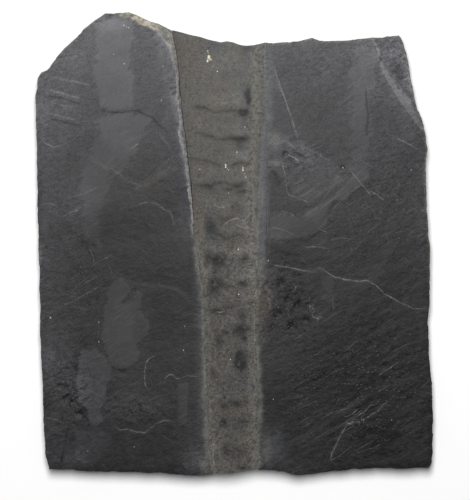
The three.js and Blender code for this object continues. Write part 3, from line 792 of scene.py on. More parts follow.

# %% [markdown]
# ## The shell
# The shell is a low arch from margin to margin, ringed by sutures: the grooves where its chamber
# walls meet its back. They sag a little towards the narrow end and waver. The east flank is a
# crumbly band, so it gets coarser, stronger noise.

# %% Relief of the shell
SUTURES = [
    ([(-18.5, 58.5), (-15.5, 58.5), (-12, 58), (-10.5, 57), (-8.5, 56), (-5, 56.5), (-2.5, 57),
      (1.5, 57), (4, 56.5), (7, 56.5)], [0.1, 0.4, 0.5, 0.35, 0.2, 0.3, 0.35, 0.3, 0.8, 0.3]),
    ([(-18, 47.5), (-14, 47), (-11.5, 46), (-9.5, 45.5), (-7.5, 44.5), (-5.5, 44.5), (-3, 44.5),
      (-1, 45), (1.5, 44.5), (4, 44.5), (7, 45)], [0.1, 0.2, 0.3, 0.45, 0.55, 0.5, 0.35, 0.4, 0.7, 0.8, 0.4]),
    ([(-20.5, 36.5), (-18.5, 36.5), (-16.5, 36), (-14.5, 36), (-13, 35.5), (-10.5, 35), (-8.5, 34),
      (-6.5, 33.5), (-4.5, 33)], [0.25, 0.25, 0.25, 0.2, 0.3, 0.25, 0.35, 0.35, 0.2]),
    ([(-2, 33), (0, 33.5), (2, 34.5), (4, 34.5), (6.5, 34)], [0.1, 0.45, 0.45, 0.3, 0.2]),
    ([(-18, 25.5), (-15.5, 24.5), (-12.5, 24.5), (-10.5, 24.5), (-8.5, 25.5), (-5.5, 26), (-3.5, 26),
      (-2, 25), (0.5, 24), (2, 24.5), (3.5, 26), (6, 26)],
     [0.25, 0.3, 0.25, 0.5, 0.35, 0.4, 0.3, 0.15, 0.45, 0.3, 0.45, 0.3]),
    ([(-5.5, 23), (-3.5, 23), (-1.5, 23), (0.5, 23), (2.5, 22), (5, 22)], [0.1, 0.35, 0.4, 0.2, 0.4, 0.4]),
    ([(-13, 12.5), (-11.5, 12), (-9, 13), (-7, 11.5), (-5, 10), (-2.5, 10), (-1, 11), (1, 11.5)],
     [0.3, 0.25, 0.15, 0.3, 0.35, 0.25, 0.35, 0.2]),
    ([(-12, 4), (-9, 4.5), (-7.5, 4.5), (-6, 3.5), (-4.5, 2), (-2.5, 1.5), (-1, 2.5), (1, 3), (3.5, 3.5),
      (6, 3.5)], [0.3, 0.25, 0.3, 0.45, 0.5, 0.5, 0.45, 0.35, 0.3, 0.3]),
    ([(-11.5, -6), (-9.5, -7), (-7.5, -7.5), (-5.5, -8), (-2.5, -7.5), (-0.5, -7.5), (2, -7.5), (4, -6.5),
      (6.5, -7)], [0.2, 0.4, 0.7, 0.5, 0.25, 0.2, 0.2, 0.4, 0.2]),
    ([(-11.5, -20), (-9.5, -20), (-8, -19.5), (-6, -18.5), (-3, -19), (-0.5, -18.5), (2, -17.5),
      (4.5, -17), (7.5, -18)], [0.25, 0.3, 0.4, 0.3, 0.2, 0.2, 0.3, 0.4, 0.2]),
    ([(-13.5, -29), (-11, -28.5), (-8.5, -29), (-7, -28.5), (-5, -29), (-3, -28), (-1.5, -27.5), (2, -27),
      (4, -26.5)], [0.25, 0.2, 0.4, 0.45, 0.45, 0.3, 0.25, 0.2, 0.2]),
    ([(-10, -38), (-7.5, -37.5), (-5, -38.5), (-2.5, -38.5), (0.5, -38.5), (2, -37), (4, -37.5), (6.5, -37)],
     [0.2, 0.3, 0.35, 0.35, 0.35, 0.45, 0.45, 0.2]),
    ([(-9.5, -57.5), (-7, -58), (-5, -57), (-2, -57.5), (0.5, -59), (3, -60)],
     [0.15, 0.2, 0.2, 0.25, 0.25, 0.15]),
    ([(-7.5, -66.5), (-5, -68.5), (-3.5, -69.5), (-1.5, -68), (1, -69), (2.5, -68), (4, -68.5), (7, -68)],
     [0.15, 0.3, 0.4, 0.2, 0.4, 0.25, 0.3, 0.25]),
    ([(-6, -76), (-4.5, -77), (-3, -78), (-1, -77.5), (1, -77.5), (3.5, -77), (5, -76.5), (7, -77.5)],
     [0.2, 0.4, 0.35, 0.15, 0.15, 0.35, 0.25, 0.2]),
    ([(-5.5, -87.5), (-3, -88), (-1, -87.5), (1, -88.5), (3.5, -89), (6, -88)], [0.3, 0.4, 0.25, 0.3, 0.3, 0.15]),
]
SUTURE_DEPTH, SUTURE_REACH = 0.2, 0.45


def nearest_line(x, y, lines, taper=0.12):
    """Signed distance to the nearest of several lines, and that line's half width there."""
    distance, width = np.full(np.shape(x), 20.0), np.zeros(np.shape(x))
    for line, half_width in lines:
        signed, along = beside(x, y, line)
        closer = np.abs(signed) < np.abs(distance)
        ends = np.sqrt(np.minimum(ramp(along, 0, taper), ramp(1 - along, 0, taper)))
        widths = np.atleast_1d(half_width)
        here = np.interp(along, np.linspace(0, 1, len(widths)), widths)
        distance = np.where(closer, signed, distance)
        width = np.where(closer, here * ends, width)
    return distance, width


SUTURE_LINES = [(crumpled(evenly(points, step=0.8), 0.35, 401 + k, 3.0), widths)
                for k, (points, widths) in enumerate(SUTURES)]


def suture_marks(x, y):
    """How strongly each point lies in a suture's groove."""
    distance, width = nearest_line(x, y, SUTURE_LINES)
    return np.exp(-((distance / SUTURE_REACH) ** 2)) * np.clip(width / 0.45, 0, 1.2)


def edge_drop(x, y):
    """How far the shell's edge lies under the split face: deep only along the crevice."""
    across, _ = across_shell(x, y)
    return 0.06 + 0.4 * ramp(y, -2, 14) * ramp(-across, 0, 0.6)


def shell_height(x, y):
    """Height of the shell's back."""
    across, half = across_shell(x, y)
    fullness = 0.45 + 0.55 * half / 20
    drop = edge_drop(x, y)
    arch = np.clip(1 - np.abs(across) ** 2.4, 0, 1) ** 0.7
    flank = ramp(across, 0.5, 0.75)
    grain = 0.13 * rough_noise(x, y, 3.0, 461, octaves=5, gain=0.62)
    crumbs = 0.28 * rough_noise(x, y * 0.7, 2.0, 467, octaves=4, gain=0.65) * flank
    dents = 0.35 * ramp(rough_noise(x, y, 5.5, 471, octaves=4), 0.3, 0.65)
    height = face_height(x, y) - drop + (SHELL_CROWN + drop) * fullness * arch
    return height - SUTURE_DEPTH * suture_marks(x, y) + (grain + crumbs - dents) * ramp(arch, 0, 0.5)


# %% Rings of the shell
SHELL_STATIONS, BACK_CELLS, KEEL_CELLS, END_RINGS = 420, 96, 24, 5
END_INSET = 0.3


def shell_rings():
    """One closed ring across the shell at each station: over its back, then under its keel."""
    back = np.linspace(-1, 1, BACK_CELLS + 1)
    back = np.sign(back) * np.abs(back) ** 0.92
    angle = np.linspace(0, math.pi, KEEL_CELLS + 2)[1:-1]
    across = np.concatenate([back[::-1], -np.cos(angle)])
    under = np.concatenate([back * 0, np.sin(angle)])
    ends = []
    for side, inset in ((SOUTH_SIDE, END_INSET), (NORTH_SIDE, -END_INSET)):
        tip = 0 if side is SOUTH_SIDE else -1
        x = SHELL_WEST[tip][0] * (1 - across) / 2 + SHELL_EAST[tip][0] * (1 + across) / 2
        ragged = 0.25 * rough_noise(x, x * 0, 4, 481)
        ends.append(side_y(side, x) + inset + ragged)
    v = np.linspace(0, 1, SHELL_STATIONS + 1)[:, None]
    y = ends[0][None] * (1 - v) + ends[1][None] * v
    west = margin_x(WEST_MARGIN, y) - 0.12 + 0.4 * ramp(y, -2, 14)
    east = margin_x(EAST_MARGIN, y) + 0.12
    x = west * (1 - across) / 2 + east * (1 + across) / 2
    top = shell_height(x, y)
    _, half = across_shell(x, y)
    keel = face_height(x, y) - edge_drop(x, y) - SHELL_KEEL * (0.45 + 0.55 * half / 20) * under
    return np.dstack([x, y, np.where(under > 0, keel, top)])


def build_shell():
    """The shell as one closed mesh, its two ends closed by shrinking rings."""
    rings = list(shell_rings())
    for tip in (0, -1):
        outer = rings[tip]
        middle, order = outer.mean(axis=0), np.argsort(outer[:, 0])
        inner = []
        for k in range(1, END_RINGS + 1):
            ring = middle + (outer - middle) * (1 - k / (END_RINGS + 0.6))
            ring[:, 1] = np.interp(ring[:, 0], outer[order, 0], outer[order, 1])
            ring[:, 1] += 0.22 * rough_noise(ring[:, 0], ring[:, 2], 2.5, 491 + tip)
            inner.append(ring)
        rings = inner[::-1] + rings if tip == 0 else rings + inner
    count = rings[0].shape[0]
    index = np.arange(len(rings) * count).reshape(len(rings), count)
    faces = np.concatenate([band_faces(index[k], index[k + 1]) for k in range(len(rings) - 1)])
    points = np.concatenate(rings)
    return make_piece("orthoceras_shell", points, faces, [index[0], index[-1][::-1]]), points


shell, shell_xyz = build_shell()

# %% [markdown]
# ## Colour painted on the points
# The rest is colour only, so it isn't modelled. A thin mark, such as a calcite thread, is narrower
# than the net's cells. Storing the mark itself would blur it. Storing the distance to its line
# doesn't, because distance changes evenly from point to point: the material then cuts the thin
# line out of the distance at any sharpness. Small specks work the same way, with the offset from
# the nearest speck. Wide, soft things, such as stains and bands, are stored as plain masks.

# %% Calcite threads, pale ledge edges, scratches and cracks: each with its half width in mm
VEIN_WIDTHS = [0.12, 0.16, 0.18, 0.14, 0.0, 0.16, 0.26, 0.24, 0.2, 0.26, 0.22, 0.2, 0.26, 0.24, 0.2, 0.16]
# The pale marks along the ledges are their pale broken edges and calcite, with painted highlight where a step catches
# the light.
LEDGE_MARKS = {"basin_south": 0.06, "west_arc": 0.12, "far_west_arc": 0.12, "south_thread": 0.16,
               "east_vein": VEIN_WIDTHS, "south_east_curve": 0.17, "corner_flake": 0.27}
THREADS = [
    ([(17, 76.5), (18.5, 72), (20, 67), (22, 61.5), (23.5, 57), (25.5, 51.5), (27, 47.5),
      (27.5, 44.5)], 0.36),
    ([(19.5, 38.5), (20.5, 34), (22, 29.5), (22.5, 23), (23.5, 21), (27.5, 19.5), (32, 17.5)], 0.27),
    ([(15.2, 34.6), (20, 34.7), (25, 33.6)], 0.16),
    ([(23.1, 38.3), (25.5, 37), (28, 35.3)], 0.32),
    ([(63.1, 78.7), (66.5, 74.4), (70, 69.2), (73, 64.5), (75.1, 62.4)], 0.26),
    ([(-82.5, 44.5), (-80.5, 42.5), (-78, 41.5), (-74.5, 42), (-72, 43)], 0.26),
    ([(-83, 17.5), (-79, 17), (-75.5, 15.5)], 0.14),
    ([(-33, -48), (-36, -49), (-38, -51), (-38.5, -55), (-38.5, -60), (-37.5, -62.5),
      (-35.5, -63)], 0.17),
    ([(-30, -60.5), (-29, -57), (-27, -56.5), (-25.5, -57.5), (-24, -58.5), (-20.5, -57),
      (-14.5, -57.5)], 0.14),
    ([(-81.5, -75), (-78.5, -75.5), (-75.5, -76)], 0.2),
    ([(-68.5, -92.5), (-63.5, -94), (-60.5, -96)], 0.12),
    ([(30, -1.5), (35, -1.5), (41.5, -2.5)], 0.14), ([(41.5, 1.5), (46, 2.5), (50, 1.5)], 0.1),
    ([(36.5, 6), (40.5, 4.5)], 0.12), ([(59, 22.5), (62, 20.5), (64.5, 18.5)], 0.16),
    ([(50.2, 31), (53.2, 27.5), (55.4, 24.9), (58.8, 20.6)], 0.17), ([(59.7, 64.5), (66.1, 62.8)], 0.14),
    ([(45.9, 21.1), (41, 17.8), (37.3, 14.6), (30.9, 10.8)], 0.05), ([(65, 47.5), (70, 45.8)], 0.12),
    ([(-46.5, 40), (-43.5, 41.2), (-41, 43)], 0.28),
    ([(66.5, 46.5), (71.5, 44.5), (77.5, 41.5)], 0.12), ([(51.5, 36), (56.5, 34.5), (60, 32.5)], 0.13),
    ([(48, -75), (50, -74), (53, -72)], 0.14), ([(62, -57), (66.5, -54), (71.5, -50.5)], 0.14),
    ([(48.4, -78.3), (50, -78), (51.5, -76.5), (53.5, -77), (57, -75), (61, -72.5), (64.5, -69.5)], 0.15),
    ([(47.5, -74.9), (49.8, -73.6), (51.4, -72.4), (53.4, -71.6)], 0.14),
    ([(50.5, -76), (54, -73.4), (57, -72), (58.6, -69.8), (61, -69.4), (63.2, -66.6)], 0.13),
    ([(28, -88.5), (31.5, -86.5)], 0.13), ([(50, -91), (56.5, -89), (64, -86)], 0.11),
    ([(40.5, -94), (46, -91), (51, -87)], 0.12), ([(28, -68), (32, -66.5)], 0.12),
    ([(37.5, -75.5), (41.5, -73), (48, -71)], 0.12),
    ([(20.1, 13.8), (24.4, 12.9), (27.2, 10.5)], 0.13), ([(16, 7), (22, 5.5), (28, 2.5)], 0.07),
    ([(14.4, 20), (14.5, 10), (14.4, 2)], 0.07),
    ([(13.4, -15.6), (11.8, -17.2), (10.8, -19.4), (11.2, -21.6), (10.2, -23.6)], 0.45),
    ([(13.1, -17.6), (14, -19.2), (12.8, -20.6)], 0.3), ([(9.6, -9.5), (10.6, -11.8)], 0.3),
    ([(24.6, 54.5), (25.3, 50), (26.4, 46.2)], 0.12), ([(16.4, 74), (18, 69.5), (18.8, 65)], 0.08),
    ([(33, -26.5), (34.6, -28.8), (33.4, -31.2), (36.2, -32.6), (37.4, -30.4), (35.6, -34.8)], 0.13),
    ([(32.6, -22.8), (32.4, -26), (32.8, -29.5)], 0.1), ([(42.4, -22.8), (42.7, -28.5)], 0.12),
    ([(25, -17.8), (26.8, -18.8), (26.2, -20.6), (24, -20.8)], 0.14), ([(22.6, -28), (24, -29.4)], 0.12),
]
SCRATCHES = [
    [(-74.5, 11), (-70, 13.5), (-63, 17)], [(-72.5, 19.5), (-67, 20.5), (-58, 24.5)],
    [(-71.5, 11), (-67, 14)], [(-73, -26.5), (-66, -23), (-56, -17.5)], [(-65, -17.5), (-58.5, -14)],
    [(-62.5, -10.5), (-57.5, -7.5), (-52, -4.5)], [(-54, -9), (-52.5, -13)],
]
# The first crack runs in the lip's crevice: dark mud and painted shade.
CRACKS = [
    ([(-22.9, 57), (-23.4, 61), (-23.6, 66), (-24, 72), (-24.6, 78)], 0.45),
    ([(14.3, 38), (14, 22), (14.2, 2), (13.6, -8)], 0.16), ([(23.6, 54), (24.9, 49), (26.2, 44.5)], 0.14),
    ([(-71, -78), (-72.5, -84.5), (-74.5, -95)], 0.5),
]


def drawn(points, seed, wobble=0.28):
    """A line through given places, with small natural bends."""
    return crumpled(evenly(points, step=0.9), wobble, seed, 3.5)


PALE_LINES = [(LINES[name], width) for name, width in LEDGE_MARKS.items()]
PALE_LINES += [(drawn(points, 500 + k), width) for k, (points, width) in enumerate(THREADS)]
PALE_LINES += [(drawn(points, 560 + k, 0.1), 0.11) for k, points in enumerate(SCRATCHES)]
BROW_WIDTHS = [0.06, 0.1, 0.14, 0.2, 0.42, 0.2, 0.18, 0.16, 0.14, 0.12, 0.08, 0.0, 0.0]
# Dark lines: painted shade along the steps of three ledges, and the cracks.
DARK_LINES = [(LINES["basin_north"], BROW_WIDTHS), (LINES["middle_ridge"], 0.14), (LINES["west_arc"], 0.16)]
DARK_LINES += [(drawn(points, 580 + k), width) for k, (points, width) in enumerate(CRACKS)]
# The lip's crest: pale worn slate with painted highlight along it.
LIP_WIDTHS = [0.5, 0.6, 0.6, 0.6, 0.6, 0.6, 0.7, 0.7, 0.55, 0.4, 0.4, 0.4, 0.5, 0.6, 0.4]
LIP_LINE = [(crumpled(evenly(LIP_CREST, step=0.8) + (0.3, 0), 0.4, 590, 3.0), LIP_WIDTHS)]
SQUIGGLES = [
    ([(9.5, -7.5), (10, -9.5), (11, -11), (11.5, -12)], 0.3),
    ([(13.5, -15), (12.5, -16.5), (11.5, -18), (12.5, -19.5), (11, -21), (10, -20)], 0.45),
    ([(10, -20), (9, -22.5), (10, -24)], 0.4), ([(13, -6), (11.5, -9.5), (12.5, -12.5)], 0.3),
    ([(-4.8, 7.3), (-2.3, 9.7), (1.2, 10.6), (4.6, 9.3)], 0.22), ([(-8.7, 16.8), (-5.7, 15.1), (-1.8, 16.3)], 0.2),
    ([(1, 8), (3.5, 6.5), (6, 7.5)], 0.18), ([(-6, 60), (-2, 60.6), (2, 60)], 0.16),
    ([(-7.5, -29.4), (-5.5, -29.6), (-4, -29.2)], 0.3),
    ([(8.5, -24), (8.5, -28.5), (9, -32.5), (8.5, -37), (9, -41.5), (8.5, -43.5), (10, -45)], 0.18),
    ([(-9, -80), (-8.5, -84.5), (-9, -90.5), (-8.5, -97)], 0.16),
    ([(-10.5, -67), (-10, -71.5), (-10.5, -78)], 0.14),
    ([(-11, -88.5), (-10, -93), (-9.5, -97.5)], 0.18),
]
# Painted highlight along the crests of wrinkles that the net doesn't model, each with its half width in mm.
RIDGE_HIGHLIGHTS = [
    ([(29.5, 42), (33.9, 39.6), (38.2, 37.4), (42.5, 34.8), (45, 32.7)], 0.25),
    ([(45.9, 28.8), (41.5, 27.6), (36.4, 25.4), (33, 25)], 0.5), ([(22.5, 23.5), (27, 26), (30.5, 27.5)], 0.3),
    ([(25, 21.5), (29.5, 24), (33.5, 26.5)], 0.3), ([(28, 20), (33, 22.7), (37, 25)], 0.3),
    ([(34, 19.5), (38, 22), (41, 24.5)], 0.25), ([(19, 44.5), (23, 43.5), (26, 41)], 0.4),
    ([(50, 31), (44, 26.5), (40.5, 22), (37, 17), (33, 13), (28.5, 10.7)], 0.3),
    ([(55.4, 26.2), (51, 22.4), (45.9, 18.9), (42.9, 14.6), (40.3, 11.2), (38.2, 8.2), (35.2, 5.2), (30.9, 1.7)], 0.35),
    ([(59, 89), (61.5, 84), (62.5, 80)], 0.5), ([(70, 45), (75, 43), (79, 40)], 0.4),
    ([(41.7, -92.9), (47.2, -77.8), (53.2, -76.5), (62.2, -70.5)], 0.25),
    ([(48, -74.8), (54, -71), (59.7, -67.9)], 0.22), ([(49.4, -72.2), (58, -65)], 0.2),
    ([(61, -56.3), (70.8, -49.9)], 0.25), ([(-74.5, 2.6), (-70, 3), (-66.5, 2)], 0.2),
    ([(-34.5, 49), (-31, 45.5), (-27.2, 41)], 0.4), ([(-76, 71), (-68, 69.5), (-62, 68)], 0.5),
    ([(-80, 66), (-72, 64), (-66, 62)], 0.4), ([(-81, 56), (-74, 54.5), (-68, 53)], 0.4),
    ([(-79, 60.5), (-73, 59), (-69, 58.8)], 0.3),
]
# Painted shade along the folds between those wrinkles.
FOLD_SHADES = [
    ([(25, 40.3), (28.5, 38.2), (31, 36)], 0.5), ([(22.5, 36.5), (24.5, 35.6), (26.5, 33.8)], 0.3),
    ([(39.4, 29.6), (41, 27.6), (42.8, 28.3)], 0.4), ([(16, 31.5), (18.5, 28.5), (19.5, 25)], 0.7),
    ([(25, 24.7), (29, 26), (32, 27.8)], 0.25), ([(26.5, 20.8), (31.5, 23.4), (35, 25.8)], 0.25),
    ([(17, -2), (22, -4.5), (28, -5)], 0.8), ([(-80, 63.5), (-73, 62), (-66, 60)], 0.4),
    ([(-79, 53.5), (-72, 52), (-66, 50.5)], 0.4), ([(56.7, 66), (57.5, 55), (57, 46)], 0.5),
]
RIDGE_HIGHLIGHT_LINES = [(drawn(points, 620 + k), width) for k, (points, width) in enumerate(RIDGE_HIGHLIGHTS)]
FOLD_SHADE_LINES = [(drawn(points, 660 + k), width) for k, (points, width) in enumerate(FOLD_SHADES)]
SQUIGGLE_LINES = [(drawn(points, 540 + k, 0.35), width) for k, (points, width) in enumerate(SQUIGGLES)]
PALE_LINES += SQUIGGLE_LINES
print("pale lines:", len(PALE_LINES), "dark lines:", len(DARK_LINES))


# %% Bands, stains and specks that cross both pieces
BANDS = {
    "chalky": [
        ([(12.8, 86), (13.2, 79), (13.7, 70.5), (14, 62), (14, 53), (12.8, 47), (11.8, 40.5),
          (11.6, 32), (10.9, 23), (10.5, 17), (10.3, 10), (10, 2), (9.8, -7.5)], 1.0, 0.7),
        ([(9.9, 28), (11, 26), (12.4, 22), (12.6, 19), (11, 14), (10.4, 8), (10.3, 2)], 0.45, 0.9),
        ([(-16.4, -2), (-15.6, -7.5), (-14.7, -15.5), (-13.4, -24), (-13, -32.5),
          (-13, -43.5), (-12.6, -58.5), (-12.3, -71.5), (-12.1, -80), (-11.7, -88.5),
          (-10.4, -97)], 1.4, 0.95),
        ([(8.9, -24), (8.9, -43.5), (8.9, -56), (8.5, -67), (9.8, -80)], 0.5, 0.5),
        ([(10, -25), (10.2, -43.5), (10.5, -58.5), (11.1, -67), (11.6, -72), (10.6, -80),
          (10.4, -88.5), (11.4, -95.5)], 1.2, 0.8),
    ],
    "creamy": [
        ([(-15.4, 10), (-14.6, 2), (-13.8, -8), (-12.8, -20), (-11.8, -32), (-11.4, -45), (-11, -60),
          (-10.4, -75), (-9.6, -92)], 1.8, 0.85),
        ([(9.2, 86), (9.4, 60), (8.6, 40), (8.2, 20), (8.4, 0), (8.6, -20), (8.6, -45), (8.4, -70),
          (8.6, -94)], 1.2, 0.5),
    ],
    "bluish": [
        ([(15.2, 86), (15.2, 65), (15.2, 53), (14, 47), (13.1, 38), (12.8, 22), (12.6, 8),
          (12, -5), (11.5, -14)], 1.9, 1.0),
        ([(-20.5, 3), (-22.5, 25), (-27, 52), (-29.5, 78)], 2.6, 0.25),
        ([(-15.8, -12), (-15.4, -34), (-15, -48.5), (-14.6, -72), (-15, -92)], 1.6, 0.22),
        ([(17, -84), (17.5, -90)], 4.5, 0.4),
    ],
    "warm": [
        ([(-17.2, 24), (-16.6, 16), (-15.4, 8), (-14.9, 2), (-14.3, -6), (-13.6, -14),
          (-12.6, -24)], 1.3, 0.8),
        ([(9, 86), (9.6, 72), (9.6, 60), (9.2, 50), (8, 38), (7.6, 22), (7.8, 8), (7.5, 0)], 1.5, 0.3),
        ([(-11.5, -60), (-10.2, -75), (-9.8, -88), (-7.5, -97)], 1.6, 0.45),
        ([(-42, 24.5), (-39, 24.5), (-36, 26), (-33, 28.5), (-30.5, 30.5), (-28, 32), (-25, 32.5)], 1.1, 0.6),
    ],
}
SPOTS = {
    "chalky": [((-12.5, -95), (3, 5), 0, 0.7), ((-18.4, 6), (1, 5), 4, 0.6), ((17.9, 34.6), (3.4, 1.2), 0, 0.6), ((12.2, -16.8), (1.8, 1), 40, 0.7),
               ((10.4, -20.6), (0.8, 2.6), -10, 0.7), ((13.5, -26.5), (1.4, 1), 0, 0.4),
               ((17.4, 44), (2.6, 3.4), 0, 0.6), ((11.5, -13), (2, 5), 0, 0.5), ((14, -88), (3, 7), 0, 0.4),
               ((3, 63), (5, 3), 10, 0.25), ((-5, 75.5), (5, 2), 0, 0.25), ((-3, 79), (4, 3), 0, 0.2)],
    "creamy": [((10, -2.5), (1.6, 6), 0, 1.0), ((8.5, 12), (1.6, 10), 0, 0.6), ((-11.5, -32.5), (2.5, 5), 0, 0.7),
               ((-7, 61), (8, 3), 0, 0.3), ((-11, 58), (3, 2), 0, 0.4), ((-3, 16), (6, 2.5), 20, 0.5)],
    "warm": [((-20.5, 81.5), (5.5, 11), 10, 0.35), ((11, -26), (3, 8), 5, 0.9), ((12, -21.5), (3, 2.5), 0, 0.7),
             ((-7, -33), (3, 3), 0, 0.6), ((-5, -52), (5, 6), 0, 0.5), ((-1.5, -73), (6, 4), 0, 0.5),
             ((4, -87), (5, 9), 0, 0.5), ((-6, 9), (3, 2), 0, 0.5), ((-3.5, 10), (2, 1.5), 0, 0.6),
             ((0, -0.5), (5, 3), 0, 0.45), ((-2, -24), (4, 5), 0, 0.4)],
    "stain": [((4, 56.3), (3, 2), 0, 1.0), ((6, 63), (1.7, 5.2), 0, 0.85),
              ((2.6, 45), (5.5, 2), 0, 0.55), ((2.2, 42), (2.4, 3.2), 0, 0.35),
              ((-11, 24.5), (3.4, 2.3), 0, 0.5), ((2, 24.5), (2.9, 1.3), 0, 0.6), ((4, 22), (2.9, 1.3), 0, 0.5),
              ((-10.2, 7), (2.8, 4.8), 15, 0.6), ((-8.6, 3), (3, 2.4), 0, 0.5),
              ((-6.8, -7.5), (3.6, 3.2), 0, 1.0), ((-11, -5), (2.9, 3.9), 0, 0.45),
              ((4.3, -6.2), (2.6, 2.9), 0, 0.55), ((-8, -12), (2, 3.4), 0, 0.5),
              ((-8.2, -17.6), (3.5, 3.4), 0, 0.8), ((-9, -21), (3.9, 2.3), 0, 0.55),
              ((3.8, -17.3), (2.6, 2), 0, 0.6), ((-7, -29.5), (3.6, 1.4), -8, 0.7),
              ((3.5, -31.5), (3.9, 3.9), 0, 0.45), ((3, -37), (4.2, 3.4), 0, 0.75),
              ((4.2, -40.5), (1.7, 2.1), 0, 0.7), ((-6.6, -42), (2.1, 2.9), 0, 0.6),
              ((-3.5, -38.5), (2.3, 1.6), 0, 0.5), ((2.6, -50.5), (3.2, 6.5), 8, 1.0),
              ((2, -47.5), (2.6, 2.6), 0, 0.6), ((-9, -56.5), (2.6, 3.1), 0, 0.4),
              ((-4.5, -69.7), (2.2, 1.7), 0, 0.6), ((1.2, -69.2), (2.9, 1.3), 0, 0.65),
              ((-4.8, -77), (2.2, 2.3), 0, 0.7), ((3.5, -76.5), (2.2, 2), 0, 0.5),
              ((-3, -88.5), (2.6, 2.6), 0, 0.6), ((4, -96.5), (2.9, 1.2), 0, 0.7),
              ((-3.5, 66), (11.7, 1.6), 4, 0.15), ((-4, 72), (3, 3), 0, 0.16), ((5, 83), (3.6, 2.6), 0, 0.3),
              ((-5, 53), (7, 1.6), 0, 0.15), ((-6, 40), (6, 3), 0, 0.14), ((-8, 22), (5, 2.6), 0, 0.25),
              ((1.5, 15), (4.5, 3.5), 0, 0.28), ((-9, -20), (3, 4.5), 0, 0.6), ((0.5, -78), (5, 4), 0, 0.25),
              ((1.5, -90), (4, 3.5), 0, 0.3)],
    "bluish": [((-8.5, 84), (6, 3.5), 0, 0.5), ((1, 73), (8, 5), 0, 0.4), ((6, 78), (3.5, 6), 0, 0.5),
               ((3.5, 64), (2.5, 5), 0, 0.4), ((4, 40), (4, 4), 0, 0.5), ((-9, 7), (4, 6), 0, 0.5),
               ((5.5, 50), (3, 5), 0, 0.4), ((-2, -63), (5, 5), 0, 0.35), ((5, -60), (3, 4), 0, 0.4),
               ((-5, -10), (3, 4), 0, 0.4)],
}
SPECKS = [
    (-10.8, 80, 1.0), (-11.4, 78.2, 0.7), (-9.9, 78.9, 0.5), (-11.3, 82.6, 0.35), (-7.2, 73.7, 0.38), (-3.6, 33.6, 0.5), (-3.6, 32.6, 0.45),
    (3.8, 32.3, 0.42), (3.8, 31.3, 0.46), (-2.3, 31.4, 0.3), (-14.7, 31.8, 0.3), (5.1, 28.4, 0.3), (1.2, 39.1, 0.35),
    (1.2, 37, 0.22), (1.8, -2.6, 0.42), (2, -21.9, 0.38), (-1.6, -49.9, 0.3), (-2.3, 21.5, 0.25),
    (4.6, 49.9, 0.28), (-47.2, 77.2, 0.42), (-51.7, 81.3, 0.3), (-30.6, 76.1, 0.28),
    (46.8, 32.5, 0.42), (76.2, 31.6, 0.32), (-79, -32, 0.5), (-58.2, -34, 0.33), (-58.2, -42.4, 0.33),
    (-21.8, -46, 0.38), (16.9, -67.1, 0.3), (14.7, -7.5, 0.34), (19, -27.5, 0.22),
    (-31.3, 61.5, 0.33), (-21.2, -35.7, 0.28), (67.8, -76.1, 0.28), (-47.4, 93.7, 0.5),
    (-45.3, 92.7, 0.4), (-62.9, -89.4, 0.25),
    (-42.9, -87.5, 0.25), (81.2, 14, 0.28),
]


SPECK_SHARE, MARK_REACH = 0.85, 1.4


def soft_mask(x, y, name):
    """The bands and spots of one kind, as one soft mask with ragged edges."""
    u, v = ragged(x, y)
    amount = 1.6 * patches(u, v, SPOTS.get(name, []))
    for points, half_width, strength in BANDS.get(name, []):
        away, _ = beside(u, v, evenly(points, step=3.0))
        patchy = strength * (1 + 0.5 * rough_noise(x, y, 5, 601, octaves=3))
        amount = np.maximum(amount, patchy * np.exp(-((away / half_width) ** 2)))
    return np.clip(amount, 0, 1)


def paint_lines(piece, name, x, y, lines, share=1.0):
    """Stores the distance to the nearest line, and its half width as far as the line's mark reaches."""
    distance, width = nearest_line(x, y, lines)
    paint(piece, name, distance)
    paint(piece, name + "_width", width * share * ramp(-np.abs(distance), -MARK_REACH - 0.8, -MARK_REACH))


def speck_offsets(x, y):
    """Where each point lies from its nearest speck, and how large that speck is."""
    specks = np.array(SPECKS)
    away = np.hypot(x[:, None] - specks[:, 0], y[:, None] - specks[:, 1]) - specks[:, 2]
    nearest = specks[np.argmin(away, axis=1)]
    return np.column_stack([x - nearest[:, 0], y - nearest[:, 1], SPECK_SHARE * nearest[:, 2]])


def raised(piece, points, steps=3):
    """How far each point stands out above its neighbours' average, in mm: for paler worn edges and painted shade in
    dips.
    """
    edges = np.empty(2 * len(piece.data.edges), int)
    piece.data.edges.foreach_get("vertices", edges)
    a, b = edges[::2], edges[1::2]
    count = np.bincount(np.concatenate([a, b]), minlength=len(points)).astype(float)
    height = average = points[:, 2]
    for _ in range(steps):
        total = np.bincount(a, average[b], len(points)) + np.bincount(b, average[a], len(points))
        average = 0.5 * average + 0.5 * total / count
    return height - average
